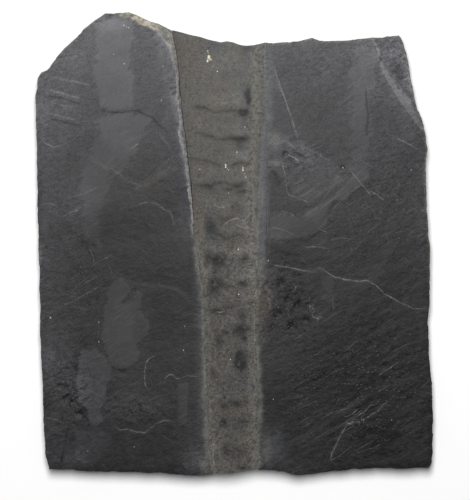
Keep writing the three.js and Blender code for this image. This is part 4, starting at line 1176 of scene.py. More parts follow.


# %% Paint the plate
# Painted sheen: the tone of the slate at its north and south ends.
NORTH_SHEEN_TONE, SOUTH_SHEEN_TONE = 1.2, -0.35
TONES = [
    ((-85, -5), (14, 95), 0, 1.1), ((-72, -52), (11, 14), 0, 0.5), ((52, -66), (38, 30), 15, -0.65),
    ((58, -4), (14, 9), 20, -0.7), ((82, 20), (6, 25), 0, 0.4), ((71, 70), (8, 20), 25, 0.8),
    ((20, -95), (14, 6), 0, 0.5), ((17, -18), (6, 8), 0, 0.7), ((-62, -82), (8, 8), 0, 0.2),
    ((-81, -90), (6, 10), 0, 0.5), ((62, -78), (12, 12), 0, -0.4), ((-16, -93), (6, 8), 0, 1.1),
    ((42, -14), (9, 8), 0, -0.4), ((36, 54), (14, 12), 0, -0.3), ((-68, 17), (8, 12), 0, 0.35),
    ((-68, -62), (8, 10), 0, 0.3), ((-48, 42), (8, 8), 0, 0.3), ((32, 38), (9, 8), 0, 0.4),
    ((-71, 80), (17, 8), 42, 0.4), ((-38, 12), (14, 12), 0, -0.3), ((-68, 58), (13, 20), 0, 0.4),
    ((-55, 95), (10, 5), 0, 0.6), ((16, 45), (5, 5), 0, 0.4), ((80, -45), (6, 50), 0, -0.2),
    ((-47, -67), (10, 6), 0, 0.3), ((-70, -92), (7, 6), 0, 0.6), ((-20.5, 38), (4, 20), 0, 0.4),
    ((17.9, 44.3), (3.3, 3.2), 0, 0.7), ((24, 42.3), (3.4, 2), 0, 0.35), ((17.5, 30), (2.6, 3.2), 0, -0.3),
    ((70.5, 82.5), (6, 5), 0, 0.45), ((71, 72.5), (2.8, 5.5), 25, -0.8), ((-36, 78), (7, 13), 0, 0.08),
    ((24, 75), (8, 8), 0, -0.25), ((50, 50), (6, 10), 0, -0.2), ((51, -2), (8, 8), 0, -0.3),
    ((63, -82), (10, 9), 0, -0.35), ((-53, 45), (8, 8), 0, 0.2), ((-63, 26), (8, 12), 0, 0.25),
    ((-80, -50), (5, 28), 0, -0.2), ((83, 20), (4, 8), 0, -0.5), ((31, 86), (5, 3), 0, 0.35),
    ((60, -60), (24, 30), 20, -0.2), ((33, 8), (8, 5), 0, -0.15), ((55, 84), (6, 3), 0, 0.2),
    ((32, 68), (12, 20), 0, -0.18), ((-31, 17), (7, 5), 0, -0.25), ((61, -80), (11, 10), 0, -0.25),
    ((17, 2), (6, 3), 0, 0.3), ((-79, -78), (5, 7), 0, 0.45), ((-68, -93), (9, 5), 0, 0.5),
    ((81, -5), (5, 25), 0, 0.3), ((-68, 12), (10, 14), 0, 0.25), ((-83, 52), (3, 11), 0, 0.5),
    ((76, 72), (4, 16), 12, 0.9), ((-80, -46), (4, 8), 0, 0.4), ((-19, -92), (5, 9), 0, 0.4),
    ((38, 26), (5, 2.6), 20, -0.5), ((-21.5, 40), (2.5, 16), 8, 0.2),
    ((16.5, 20), (4, 6), 0, -0.25), ((33, 14), (6, 2.6), 35, -0.35), ((-29, 16), (5, 4), 0, -0.3),
    ((38, -10), (10, 5), 0, -0.22), ((55, -78), (9, 8), 0, -0.25), ((-84, -8), (2.5, 12), 0, 0.6),
    ((-26.8, 62), (2.6, 9), 8, 0.4), ((19, 2), (8, 2.4), 0, 0.35), ((-80, -70), (3, 4), 0, -0.5),
    ((18, -21), (4, 5), 0, -0.35), ((-74, 78), (6, 3), 45, -0.15), ((82, -27), (3, 4), 0, 0.4),
    ((-82, -50), (4, 12), 0, 0.3), ((-18.5, -84), (5, 9), 0, 0.25), ((-46, 51), (10, 5), 0, 0.12),
    ((19, 1.7), (8, 2), 0, 0.4), ((54.5, 36), (5, 3), 0, 0.4), ((71.5, 86.5), (3, 3), 0, 0.45),
    ((26, -33), (8, 7), 0, -0.3), ((16, -22), (3, 4), 0, -0.2), ((12, -36), (2, 6), 0, 0.4),
    ((38.6, -22.6), (2.2, 1.6), 0, 0.9), ((-27, 87), (3, 3), 0, -0.4), ((-23.5, 73), (1.6, 5), 5, -0.4),
    ((38, 25), (4, 2.2), 25, -0.4), ((42, -42), (7, 6), 0, 0.3), ((80, -34), (3, 8), 0, 0.35),
    ((-76, 25), (12, 45), 0, 0.15), ((-64, -62), (8, 12), 0, 0.35), ((83, -5), (4, 45), 0, 0.2),
    ((58, -78), (13, 10), 0, -0.3), ((32, 34.5), (5, 3), 0, 0.3), ((18, -13), (5, 3), 0, 0.45),
    ((43, -8), (8, 4), 0, -0.2), ((-41.5, -38), (3, 6), 0, -0.35), ((-27, 14.5), (4, 4), 0, -0.25),
    ((71, 88), (3, 3), 0, 0.3), ((-68, -90), (8, 6), 0, 0.15), ((-80, -58), (4, 20), 0, 0.2),
    ((-84, -4), (2, 6), 0, 0.5), ((37, -18), (4, 4), 0, -0.3), ((35, -97), (12, 3), 0, 0.3),
    ((29, 40.5), (5, 3), 0, 0.35), ((12, -38), (3, 6), 0, 0.35), ((12, -17), (3, 4), 0, 0.6), ((80, -70), (5, 25), 0, 0.15),
    ((-75, -42), (8, 12), 0, 0.25), ((73, 52), (8, 12), 0, 0.25), ((-40, 6), (12, 14), 0, -0.12),
    ((-74, -82), (8, 8), 0, 0.3), ((-58, -80), (8, 8), 0, 0.25), ((-20, -78), (6, 14), 0, 0.2),
    ((-60, 18), (6, 8), 0, 0.25), ((78, 5), (8, 10), 0, 0.25), ((60, -80), (10, 8), 0, -0.2),
    ((24, 72), (7, 7), 0, -0.15), ((37, 52), (8, 6), 0, -0.2), ((-40, 68), (3, 8), 0, -0.15),
    ((-26, 13), (4, 4), 0, -0.2), ((30, -40), (10, 6), 0, -0.15), ((74, -84), (6, 12), 0, 0.2),
    ((-68, 34), (7, 4), 0, 0.15), ((-57, 5), (6, 6), 0, -0.3), ((17, -84), (5, 8), 0, -0.3), ((83, 26), (2, 12), 0, 0.5),
]
RUBBLE = [
    ((14.5, -22), (3.4, 8.5), 8, 1.1), ((11.8, -38), (1.8, 8), 0, 0.9), ((12.5, -12), (2.5, 4), 0, 0.8),
]
BUSY_PATCHES = [
    ((55, 10), (30, 45), 0, 0.7), ((58, -60), (34, 36), 0, 1.0), ((22, -30), (16, 22), 0, 1.0),
    ((32, 34), (18, 14), 0, 0.7), ((-68, -15), (16, 40), 0, 0.6), ((-70, -62), (14, 18), 0, 1.0),
    ((60, 70), (20, 25), 0, 0.5), ((-42, -72), (14, 9), 0, 0.7), ((33, 66), (24, 26), 0, 0.6),
    ((66, 15), (22, 40), 0, 0.9), ((31, -62), (12, 26), 0, 0.9),
]


def paint_plate():
    """All masks of the plate."""
    x, y, z = plate_xyz.T
    face = np.zeros(len(x))
    face[:plan.shape[0] * plan.shape[1]] = 1
    u, v = ragged(x, y)
    # Painted sheen: the slate is made paler towards the north and darker towards the south. The ovals in TONES then
    # make patches paler or darker.
    tone = SOUTH_SHEEN_TONE + (NORTH_SHEEN_TONE - SOUTH_SHEEN_TONE) * ramp(v + 0.06 * u, -5, 100)
    tone = tone - 0.3 * ramp(-v, -60, 10) + 0.2 * ramp(v, 60, 95)
    tone = tone + sum(level * spot(u, v, at, reach, turn) for at, reach, turn, level in TONES)
    # Painted sheen on the lip's west slope, strongest near its crest.
    lip_sheen = ramp(y, LIP_SOUTH_END, LIP_SOUTH_END + LIP_FADE) * (x < -10)
    lip_sheen = lip_sheen * np.exp(-((np.maximum(margin_x(LIP_CREST, y) - x, 0) / 3.6) ** 2))
    paint(plate, "face", face)
    for name, values in zip(("flat_depth", "flat_smooth", "flat_tone", "flat_edge"), nearest_flat(x, y)):
        paint(plate, name, values)
    paint(plate, "tone", (tone + 1.1 * lip_sheen) * face)
    paint(plate, "busy", patches(x, y, BUSY_PATCHES) * face)
    away, _ = beside(x, y, np.concatenate([outline[::3], outline[:1]]))
    # Painted highlight along the plate's north and north-east rim.
    paint(plate, "rim_highlight", np.exp(-((away / 0.9) ** 2)) * face * ramp(y + 0.35 * x, -10, 70))
    paint(plate, "raised", raised(plate, plate_xyz))
    paint(plate, "rough", patches(x, y, ROUGH_PATCHES) * face)
    for name in ("chalky", "bluish", "warm"):
        paint(plate, name, soft_mask(x, y, name) * face)
    for name, lines in {"pale_line": PALE_LINES, "dark_line": DARK_LINES, "lip_line": LIP_LINE,
                        "ridge": RIDGE_HIGHLIGHT_LINES, "fold": FOLD_SHADE_LINES}.items():
        paint_lines(plate, name, x, y, lines, face)
    signed, along = beside(x, y, LINES["crystal_edge"])
    beyond = ramp(signed, -0.6, 0.6) * ramp(x, -52, -47) * ramp(1 - along, 0, 0.03) * (y > 80)
    beyond = beyond * (1 - 0.65 * ramp(x, -35, -31)) * (1 - 0.45 * ramp(-x, 41, 45))
    inner_lip = 0.3 * ramp(x - margin_x(LIP_CREST, y), -0.2, 0.4) * ramp(y, 79, 84) * (x < -20)
    lip_flecks = 0.22 * ramp(x - margin_x(LIP_CREST, y), 0.1, 0.6) * ramp(y, 56, 60) * (x < -20)
    paint(plate, "crystals", np.maximum.reduce([beyond, inner_lip, lip_flecks]) * ramp(z, 5, 8))
    paint(plate, "rubble", patches(u, v, RUBBLE) * face)
    paint(plate, "speck", speck_offsets(x, y))


paint_plate()
print("plate masks:", [layer.name for layer in plate.data.attributes][:20])


# %% Paint the shell
SHELL_TONES = [
    ((1, 75), (9, 18), 0, 0.2), ((3, -4.5), (7, 2.6), 0, 0.35), ((3, -16), (6, 2.5), 0, 0.22),
    ((0, -33), (7, 3), 0, 0.3), ((3, 38), (4, 4), 0, 0.35), ((-3, -57), (6, 3), 0, 0.3),
    ((-9, 12), (3, 4), 0, 0.2), ((5, -86), (5, 3), 0, 0.25), ((-8, -90), (4, 9), 0, 0.3),
    ((-8, 82), (7, 6), 0, 0.12), ((-5, 22), (6, 2), 0, 0.15), ((3, 48), (6, 2), 0, 0.15),
    ((-7.5, -16), (3, 2), 0, -0.15), ((0, 28.5), (6, 2), 0, 0.12), ((-2, -45), (5, 2.5), 0, 0.15),
    ((3, 49), (4, 3), 0, 0.2), ((4, -14), (4, 2), 0, 0.2), ((-12, 6), (2, 4), 0, -0.2),
    ((3, 62), (4, 5), 0, 0.15), ((-10, -9), (3, 2), 0, -0.15), ((3, 38.5), (5, 3.5), 0, 0.2),
    ((4, -3), (5, 3), 0, 0.2), ((-8.5, -22), (3, 3), 0, -0.2), ((2.5, -52), (2.6, 4), 0, -0.3),
    ((-7.5, -7.5), (3.4, 2.2), 0, -0.3),
]


def paint_shell():
    """All masks of the shell."""
    x, y, z = shell_xyz.T
    across, _ = across_shell(x, y)
    northern = ramp(y, 12, 30)
    paint_lines(shell, "pale_line", x, y, SQUIGGLE_LINES)
    paint_lines(shell, "suture", x, y, SUTURE_LINES, 0.3 + 0.7 * northern)
    distance, width = nearest_line(x, y, SUTURE_LINES)
    reach = 2.4 - 1.0 * northern
    paint(shell, "muddy", np.exp(-((distance / reach) ** 2)) * np.clip(width / 0.4, 0, 1))
    middle = np.exp(-(((across + 0.1) / 0.55) ** 2)) * ramp(-y, -50, -10)
    u, v = ragged(x, y)
    tone = sum(level * spot(u, v, at, reach, turn) for at, reach, turn, level in SHELL_TONES)
    tone = tone + 0.1 * ramp(y, 40, 80) + 0.2 * ramp(across, 0.5, 0.8) - 0.26 * ramp(-y, 0, 50) - 0.2 * middle
    paint(shell, "tone", tone)
    paint(shell, "southern", ramp(-y, -35, 10))
    paint(shell, "flank", ramp(across, 0.5, 0.8) * ramp(y, -30, 5))
    paint(shell, "raised", raised(shell, shell_xyz))
    for name in ("stain", "chalky", "bluish", "warm", "creamy"):
        paint(shell, name, soft_mask(x, y, name))
    paint(shell, "speck", speck_offsets(x, y))


paint_shell()

# %% [markdown]
# ## Building materials from nodes
# A material is a small network: textures and masks on one side, the Principled BSDF on the other.
# Four effects are used more than once, so each becomes a node group: grain that can be stretched
# and turned, a thin mark cut out of a distance, a speck cut out of an offset, and a field of fine
# scratches. A group is built once and then placed like any other node, with its own values.

# %% Helpers for nodes
def node(tree, kind, inputs=None, **settings):
    """A new node with its settings. Each input is given as a value or as the socket that feeds it."""
    made = tree.nodes.new("ShaderNode" + kind)
    for name, value in settings.items():
        setattr(made, name, value)
    for name, value in (inputs or {}).items():
        if isinstance(value, bpy.types.NodeSocket):
            tree.links.new(value, made.inputs[name])
        else:
            made.inputs[name].default_value = value
    return made


def maths(tree, operation, a, b=0.0, clamp=False):
    """One sum on values."""
    return node(tree, "Math", {0: a, 1: b}, operation=operation, use_clamp=clamp).outputs[0]


def spread(tree, value, low, high, to_low=0.0, to_high=1.0, soft=False):
    """A value moved from one range to another, and held inside it."""
    kind = "SMOOTHSTEP" if soft else "LINEAR"
    return node(tree, "MapRange", {0: value, 1: low, 2: high, 3: to_low, 4: to_high},
                interpolation_type=kind).outputs[0]


def painted(tree, name):
    """A number painted on the points."""
    return node(tree, "Attribute", attribute_name=name).outputs["Fac"]


def tint(tree, amount, below, above):
    """One colour laid over another by a mask."""
    return node(tree, "Mix", {0: amount, 6: below, 7: above}, data_type="RGBA").outputs[2]


def rgb(red, green, blue):
    """A colour as its four numbers."""
    return (red, green, blue, 1.0)


def new_group(name, inputs, outputs):
    """An empty node group with named sockets: name to default for inputs, name to kind for outputs."""
    group = bpy.data.node_groups.new(name, "ShaderNodeTree")
    for label, value in inputs.items():
        kind = "NodeSocketVector" if isinstance(value, tuple) else "NodeSocketFloat"
        socket = group.interface.new_socket(label, in_out="INPUT", socket_type=kind)
        socket.default_value = value
    for label in outputs:
        group.interface.new_socket(label, in_out="OUTPUT", socket_type="NodeSocketFloat")
    start = group.nodes.new("NodeGroupInput")
    end = group.nodes.new("NodeGroupOutput")
    return group, start.outputs, end.inputs


def placed(tree, group, **inputs):
    """A node group placed in a material. Input names are given with _ for their spaces."""
    made = node(tree, "Group", node_tree=group)
    for name, value in inputs.items():
        socket = made.inputs[name.replace("_", " ")]
        if isinstance(value, bpy.types.NodeSocket):
            tree.links.new(value, socket)
        else:
            socket.default_value = value
    return made.outputs[0]


# %% Group: grain, stretched along a turned axis
def grain_group():
    """Noise of a size in mm, drawn out along a direction given in degrees."""
    group, inputs, outputs = new_group(
        "rock grain", {"Size": 1.0, "Stretch": 1.0, "Turn": 0.0, "Roughness": 0.6, "Shift": 0.0}, ["Grain"])
    turn = maths(group, "RADIANS", maths(group, "MULTIPLY", inputs["Turn"], -1.0))
    across = maths(group, "DIVIDE", 1 / MM, inputs["Size"])
    along = maths(group, "DIVIDE", across, inputs["Stretch"])
    scale = node(group, "CombineXYZ", {0: along, 1: across, 2: across}).outputs[0]
    place = node(group, "TexCoord").outputs["Object"]
    turned_place = node(group, "VectorRotate", {"Vector": place, "Angle": turn},
                        rotation_type="Z_AXIS").outputs[0]
    scaled = node(group, "VectorMath", {0: turned_place, 1: scale}, operation="MULTIPLY").outputs[0]
    shift = node(group, "CombineXYZ", {0: inputs["Shift"], 1: inputs["Shift"]}).outputs[0]
    moved = node(group, "VectorMath", {0: scaled, 1: shift}, operation="ADD").outputs[0]
    noise = node(group, "TexNoise", {"Vector": moved, "Scale": 1.0, "Detail": 4.0,
                                     "Roughness": inputs["Roughness"], "Distortion": 0.35})
    group.links.new(spread(group, noise.outputs[0], 0.25, 0.75), outputs["Grain"])
    return group


# %% Group: a thin mark cut out of a distance
def line_group():
    """A mask along a painted line, uneven in width, beaded, and here and there broken."""
    group, inputs, outputs = new_group(
        "line mark", {"Distance": 20.0, "Half Width": 0.0, "Softness": 0.12, "Breaks": 0.4, "Wander": 0.12,
                      "Beads": 0.0}, ["Mask"])
    place = node(group, "TexCoord").outputs["Object"]
    wander = node(group, "TexNoise", {"Vector": place, "Scale": 0.9 / MM, "Detail": 3.0}).outputs[0]
    gaps = node(group, "TexNoise", {"Vector": place, "Scale": 0.22 / MM, "Detail": 2.0}).outputs[0]
    push = maths(group, "MULTIPLY", spread(group, wander, 0.3, 0.7, -1, 1), inputs["Wander"])
    away = maths(group, "ABSOLUTE", maths(group, "ADD", inputs["Distance"], push))
    open_share = maths(group, "MULTIPLY", spread(group, gaps, 0.35, 0.6), inputs["Breaks"])
    width = maths(group, "MULTIPLY", inputs["Half Width"], maths(group, "SUBTRACT", 1.25, open_share))
    edge = maths(group, "SUBTRACT", width, away)
    low = maths(group, "MULTIPLY", inputs["Softness"], -1.0)
    cut = spread(group, edge, low, inputs["Softness"], soft=True)
    shown = maths(group, "GREATER_THAN", inputs["Half Width"], 0.01)
    beads = node(group, "TexNoise", {"Vector": place, "Scale": 0.55 / MM, "Detail": 2.0}).outputs[0]
    beads = maths(group, "MULTIPLY", spread(group, beads, 0.6, 0.42), inputs["Beads"])
    strength = maths(group, "MULTIPLY", shown, maths(group, "SUBTRACT", 1.0, beads))
    group.links.new(maths(group, "MULTIPLY", cut, strength), outputs["Mask"])
    return group


# %% Group: a speck cut out of an offset
def speck_group():
    """A mask for single specks. Their offset is stored with the speck's size as its third number."""
    group, inputs, outputs = new_group("mineral speck", {"Offset": (0.0, 0.0, 0.0)}, ["Mask"])
    parts = node(group, "SeparateXYZ", {0: inputs["Offset"]}).outputs
    flat = node(group, "CombineXYZ", {0: maths(group, "MULTIPLY", parts[0], 1.35), 1: parts[1]}).outputs[0]
    away = node(group, "VectorMath", {0: flat}, operation="LENGTH").outputs["Value"]
    share = maths(group, "DIVIDE", away, maths(group, "MAXIMUM", parts[2], 0.01))
    group.links.new(spread(group, share, 1.15, 0.6, soft=True), outputs["Mask"])
    return group



# %% Group: a field of fine scratches or flecks
def scratch_group():
    """Thin dashes, one to a cell: spaced, long and wide in mm, turned in degrees, a share of them shown."""
    group, inputs, outputs = new_group(
        "scratch field", {"Spacing": 3.0, "Length": 10.0, "Half Width": 0.12, "Turn": 30.0, "Share": 0.5,
                          "Shift": 0.0}, ["Mask"])
    turn = maths(group, "RADIANS", maths(group, "MULTIPLY", inputs["Turn"], -1.0))
    place = node(group, "TexCoord").outputs["Object"]
    place = node(group, "VectorRotate", {"Vector": place, "Angle": turn}, rotation_type="Z_AXIS").outputs[0]
    cell = node(group, "CombineXYZ", {0: inputs["Length"], 1: inputs["Spacing"], 2: 1.0}).outputs[0]
    place = node(group, "VectorMath", {0: place, "Scale": 1 / MM}, operation="SCALE").outputs[0]
    place = node(group, "VectorMath", {0: place, 1: cell}, operation="DIVIDE").outputs[0]
    shift = node(group, "CombineXYZ", {0: inputs["Shift"], 1: inputs["Shift"]}).outputs[0]
    place = node(group, "VectorMath", {0: place, 1: shift}, operation="ADD").outputs[0]
    cells = node(group, "TexVoronoi", {"Vector": place, "Scale": 1.0}, voronoi_dimensions="2D")
    offset = node(group, "VectorMath", {0: place, 1: cells.outputs["Position"]}, operation="SUBTRACT").outputs[0]
    offset = node(group, "VectorMath", {0: offset, 1: cell}, operation="MULTIPLY").outputs[0]
    along, across, _ = node(group, "SeparateXYZ", {0: offset}).outputs
    chance, lean, reach = node(group, "SeparateColor", {0: cells.outputs["Color"]}).outputs
    across = maths(group, "ADD", across, maths(group, "MULTIPLY", along, spread(group, lean, 0, 1, -0.2, 0.2)))
    half_length = maths(group, "MULTIPLY", inputs["Length"], spread(group, reach, 0, 1, 0.12, 0.45))
    gone = maths(group, "DIVIDE", maths(group, "ABSOLUTE", along), half_length)
    width = maths(group, "MULTIPLY", inputs["Half Width"], spread(group, gone, 0.2, 1.0, 1.0, 0.0))
    cut = spread(group, maths(group, "ABSOLUTE", across), width, maths(group, "MULTIPLY", width, 0.3), soft=True)
    shown = maths(group, "MULTIPLY", maths(group, "LESS_THAN", chance, inputs["Share"]),
                  maths(group, "GREATER_THAN", width, 0.005))
    faint = spread(group, chance, 0, inputs["Share"], 1.0, 0.3)
    group.links.new(maths(group, "MULTIPLY", cut, maths(group, "MULTIPLY", shown, faint)), outputs["Mask"])
    return group


GRAIN, LINE_MARK, SPECK, SCRATCH_FIELD = grain_group(), line_group(), speck_group(), scratch_group()
print("node groups:", [group.name for group in (GRAIN, LINE_MARK, SPECK, SCRATCH_FIELD)])

# %% [markdown]
# ## Slate
# Fresh slate is a near-black grey. Its face shows three things at once: scales that catch the light,
# flats that are paler because they are finely dusty and scratched, and everything that crosses it,
# such as calcite threads, cracks and the turned-up lip. The colour starts dark and takes one layer
# after another. Bump carries only the grain that is too fine for the net of points.

# %% Slate's colours
# The second colour is a painted highlight for the plate's north and north-east rim.
SLATE, RIM_HIGHLIGHT, SCRATCHED = (0.0231, 0.0229, 0.0247), rgb(0.12, 0.122, 0.104), rgb(0.125, 0.125, 0.122)
SLATE_BLUE, CHALKY = rgb(0.066, 0.068, 0.074), rgb(0.088, 0.088, 0.084)
# LIP_WHITE is pale worn slate with painted highlight on the lip's crest.
RUSTY, CALCITE, LIP_WHITE = rgb(0.06, 0.052, 0.04), rgb(0.14, 0.138, 0.127), (0.2, 0.2, 0.194)
# CREVICE is the dark of the cracks, and the painted shade along ledge steps and in the lip's crevice.
CREVICE, SPECK_WHITE = rgb(0.009, 0.009, 0.009), rgb(0.35, 0.34, 0.3)
# The brightest crystal stops are partly painted glints on the crystal faces.
CRYSTAL_COLOURS = [(0.0, rgb(0.07, 0.066, 0.058)), (0.3, rgb(0.17, 0.153, 0.12)), (0.5, rgb(0.28, 0.255, 0.2)),
                   (0.7, rgb(0.46, 0.425, 0.35)), (1.0, rgb(0.75, 0.73, 0.66))]
RUBBLE_COLOURS = [
    (0.3, rgb(0.014, 0.014, 0.015)), (0.45, rgb(0.035, 0.032, 0.029)), (0.6, rgb(0.06, 0.054, 0.047)),
    (0.75, rgb(0.08, 0.079, 0.074)), (0.9, rgb(0.2, 0.19, 0.165)),
]


def new_material(name):
    """A material with only its Principled BSDF, ready for links."""
    material = bpy.data.materials.new(name)
    material.use_nodes = True
    return material, material.node_tree, material.node_tree.nodes["Principled BSDF"]


def stepped_colours(tree, value, stops):
    """A colour ramp with the given stops."""
    ramp_node = node(tree, "ValToRGB", {0: value})
    stack = ramp_node.color_ramp.elements
    while len(stack) < len(stops):
        stack.new(0.5)
    for element, (position, colour) in zip(stack, stops):
        element.position, element.color = position, colour
    return ramp_node.outputs[0]


def scaled_colour(tree, colour, factor):
    """A colour made brighter or darker."""
    return node(tree, "VectorMath", {0: colour, "Scale": factor}, operation="SCALE").outputs[0]


def slate_material():
    """Dark slate with flats, threads, cracks, a pale lip and a crystal-covered bevel."""
    material, tree, surface = new_material("slate")
    mottle = placed(tree, GRAIN, Size=1.3, Stretch=1.9, Turn=14.0, Roughness=0.75)
    fine = placed(tree, GRAIN, Size=0.5, Stretch=1.3, Turn=25.0, Roughness=0.8, Shift=40.0)
    clouds = placed(tree, GRAIN, Size=9.0, Stretch=1.4, Turn=30.0, Roughness=0.62, Shift=7.0)
    frayed = placed(tree, GRAIN, Size=2.6, Stretch=3.2, Turn=33.0, Roughness=0.75, Shift=90.0)
    rough = painted(tree, "rough")

    edge = maths(tree, "MULTIPLY", painted(tree, "flat_edge"), 0.7)
    push = maths(tree, "MULTIPLY", spread(tree, frayed, 0, 1, -2.2, 2.2), painted(tree, "flat_edge"))
    depth = maths(tree, "ADD", painted(tree, "flat_depth"), push)
    flat = spread(tree, depth, maths(tree, "MULTIPLY", edge, -1.0), edge, soft=True)
    smooth = maths(tree, "MULTIPLY", flat, painted(tree, "flat_smooth"))
    flat_tone = maths(tree, "MULTIPLY", flat, painted(tree, "flat_tone"))
    tone = maths(tree, "ADD", painted(tree, "tone"), flat_tone)
    tone = maths(tree, "ADD", tone, spread(tree, clouds, 0, 1, -0.3, 0.3))
    # Painted highlight on wrinkle crests and painted shade in their folds, both added to the tone.
    for name, strength in (("ridge", 0.85), ("fold", -1.2)):
        soft_line = placed(tree, LINE_MARK, Distance=painted(tree, name), Half_Width=painted(tree, name + "_width"),
                           Softness=0.35, Breaks=0.4, Wander=0.25, Beads=0.2)
        tone = maths(tree, "ADD", tone, maths(tree, "MULTIPLY", soft_line, strength))
    colour = scaled_colour(tree, SLATE, maths(tree, "POWER", 2.0, tone))
    colour = tint(tree, maths(tree, "MULTIPLY", painted(tree, "bluish"), 0.8), colour, SLATE_BLUE)
    colour = tint(tree, maths(tree, "MULTIPLY", painted(tree, "chalky"), 0.9), colour, CHALKY)
    colour = tint(tree, maths(tree, "MULTIPLY", painted(tree, "warm"), 0.8), colour, RUSTY)
    # Painted highlight along the north and north-east rim.
    colour = tint(tree, maths(tree, "MULTIPLY", painted(tree, "rim_highlight"), 0.7), colour, RIM_HIGHLIGHT)

    busy = painted(tree, "busy")
    grainy = maths(tree, "ADD", spread(tree, mottle, 0, 1, -0.7, 0.7), spread(tree, fine, 0, 1, -0.8, 0.8))
    calm = maths(tree, "MULTIPLY", spread(tree, smooth, 0, 1, 0.9, 0.42), spread(tree, busy, 0, 1, 1.0, 1.7))
    calm = maths(tree, "ADD", calm, maths(tree, "MULTIPLY", rough, 0.6))
    calm = maths(tree, "MULTIPLY", calm, spread(tree, painted(tree, "bluish"), 0.2, 0.8, 1.0, 0.75))
    grainy = maths(tree, "ADD", 1.0, maths(tree, "MULTIPLY", grainy, calm))
    # Raised points are made paler, as worn edges, and dips darker: painted shade in the dips.
    wear_and_dip_shade = spread(tree, painted(tree, "raised"), -0.12, 0.12, 0.8, 1.25)
    brightness = maths(tree, "MULTIPLY", grainy, wear_and_dip_shade)
    colour = scaled_colour(tree, colour, maths(tree, "MAXIMUM", brightness, 0.15))

    scratches = placed(tree, SCRATCH_FIELD, Spacing=3.4, Length=17.0, Half_Width=0.2, Turn=32.0, Share=0.5)
    scratches = maths(tree, "MULTIPLY", scratches, spread(tree, busy, 0.1, 0.9, 0.25, 1.0))
    scratches = maths(tree, "MULTIPLY", scratches, spread(tree, rough, 0.2, 0.7, 1.0, 0.0))
    streaks = placed(tree, SCRATCH_FIELD, Spacing=1.5, Length=15.0, Half_Width=0.3, Turn=33.0, Share=0.6, Shift=2.0)
    streaks = maths(tree, "MULTIPLY", streaks, spread(tree, smooth, 0, 1, 0.08, 0.35))
    nicks = placed(tree, SCRATCH_FIELD, Spacing=4.2, Length=7.0, Half_Width=0.16, Turn=-38.0, Share=0.25, Shift=5.0)
    flecks = placed(tree, SCRATCH_FIELD, Spacing=1.3, Length=1.6, Half_Width=0.28, Turn=20.0, Share=0.3, Shift=9.0)
    flecks = maths(tree, "MULTIPLY", flecks, spread(tree, busy, 0.2, 1.0, 0.1, 1.0))
    marks = maths(tree, "MAXIMUM", scratches, maths(tree, "MULTIPLY", nicks, 0.5))
    marks = maths(tree, "MAXIMUM", maths(tree, "MAXIMUM", marks, streaks), flecks)
    colour = tint(tree, maths(tree, "MULTIPLY", marks, 0.65), colour, SCRATCHED)

    dark = placed(tree, LINE_MARK, Distance=painted(tree, "dark_line"),
                  Half_Width=painted(tree, "dark_line_width"), Softness=0.15, Breaks=0.9)
    pale = placed(tree, LINE_MARK, Distance=painted(tree, "pale_line"),
                  Half_Width=painted(tree, "pale_line_width"), Softness=0.1, Breaks=0.8, Wander=0.2, Beads=0.6)
    lip = placed(tree, LINE_MARK, Distance=painted(tree, "lip_line"), Beads=0.45,
                 Half_Width=painted(tree, "lip_line_width"), Softness=0.25, Breaks=0.5, Wander=0.5)
    # Dark lines: painted shade along ledge steps, mud and painted shade in the lip's crevice, and dark cracks. Pale
    # lines: calcite, scratches and pale ledge edges with painted highlight.
    colour = tint(tree, maths(tree, "MULTIPLY", dark, 0.85), colour, CREVICE)
    colour = tint(tree, maths(tree, "MULTIPLY", pale, 0.8), colour, CALCITE)
    # The lip's crest: pale worn slate with painted highlight.
    colour = tint(tree, lip, colour, scaled_colour(tree, LIP_WHITE, spread(tree, fine, 0, 1, 0.75, 1.3)))

    crumbs = placed(tree, GRAIN, Size=1.5, Stretch=1.2, Turn=60.0, Roughness=0.75, Shift=51.0)
    rubble = maths(tree, "MULTIPLY", painted(tree, "rubble"), spread(tree, fine, 0.1, 0.45), clamp=True)
    colour = tint(tree, rubble, colour, stepped_colours(tree, crumbs, RUBBLE_COLOURS))

    facets = node(tree, "TexVoronoi", {"Vector": node(tree, "TexCoord").outputs["Object"], "Scale": 0.6 / MM,
                                       "Randomness": 1.0})
    sparkle = node(tree, "SeparateColor", {0: facets.outputs["Color"]}).outputs[0]
    lumps = placed(tree, GRAIN, Size=2.4, Stretch=1.8, Turn=-22.0, Roughness=0.7, Shift=33.0)
    facet_tone = maths(tree, "ADD", maths(tree, "MULTIPLY", sparkle, 0.35), maths(tree, "MULTIPLY", lumps, 0.7))
    # Crystals on the bevel, their brightest spots partly painted glints.
    crystals = maths(tree, "MULTIPLY", painted(tree, "crystals"), spread(tree, fine, 0.1, 0.4), clamp=True)
    colour = tint(tree, crystals, colour, stepped_colours(tree, facet_tone, CRYSTAL_COLOURS))
    specks = placed(tree, SPECK, Offset=node(tree, "Attribute", attribute_name="speck").outputs["Vector"])
    specks = maths(tree, "MULTIPLY", specks, painted(tree, "face"))
    colour = tint(tree, specks, colour, SPECK_WHITE)
    tree.links.new(colour, surface.inputs["Base Color"])

    tree.links.new(spread(tree, mottle, 0, 1, 0.3, 0.42), surface.inputs["Roughness"])
    surface.inputs["Specular IOR Level"].default_value = 0.08
    height = maths(tree, "ADD", mottle, maths(tree, "MULTIPLY", fine, 0.45))
    height = maths(tree, "MULTIPLY", height, maths(tree, "ADD", spread(tree, smooth, 0, 1, 1.0, 0.35), rough))
    height = maths(tree, "ADD", height, maths(tree, "MULTIPLY", facet_tone, crystals))
    bump = node(tree, "Bump", {"Height": height, "Strength": 1.0, "Distance": 0.05 * MM})
    tree.links.new(bump.outputs[0], surface.inputs["Normal"])
    return material


plate.data.materials.append(slate_material())

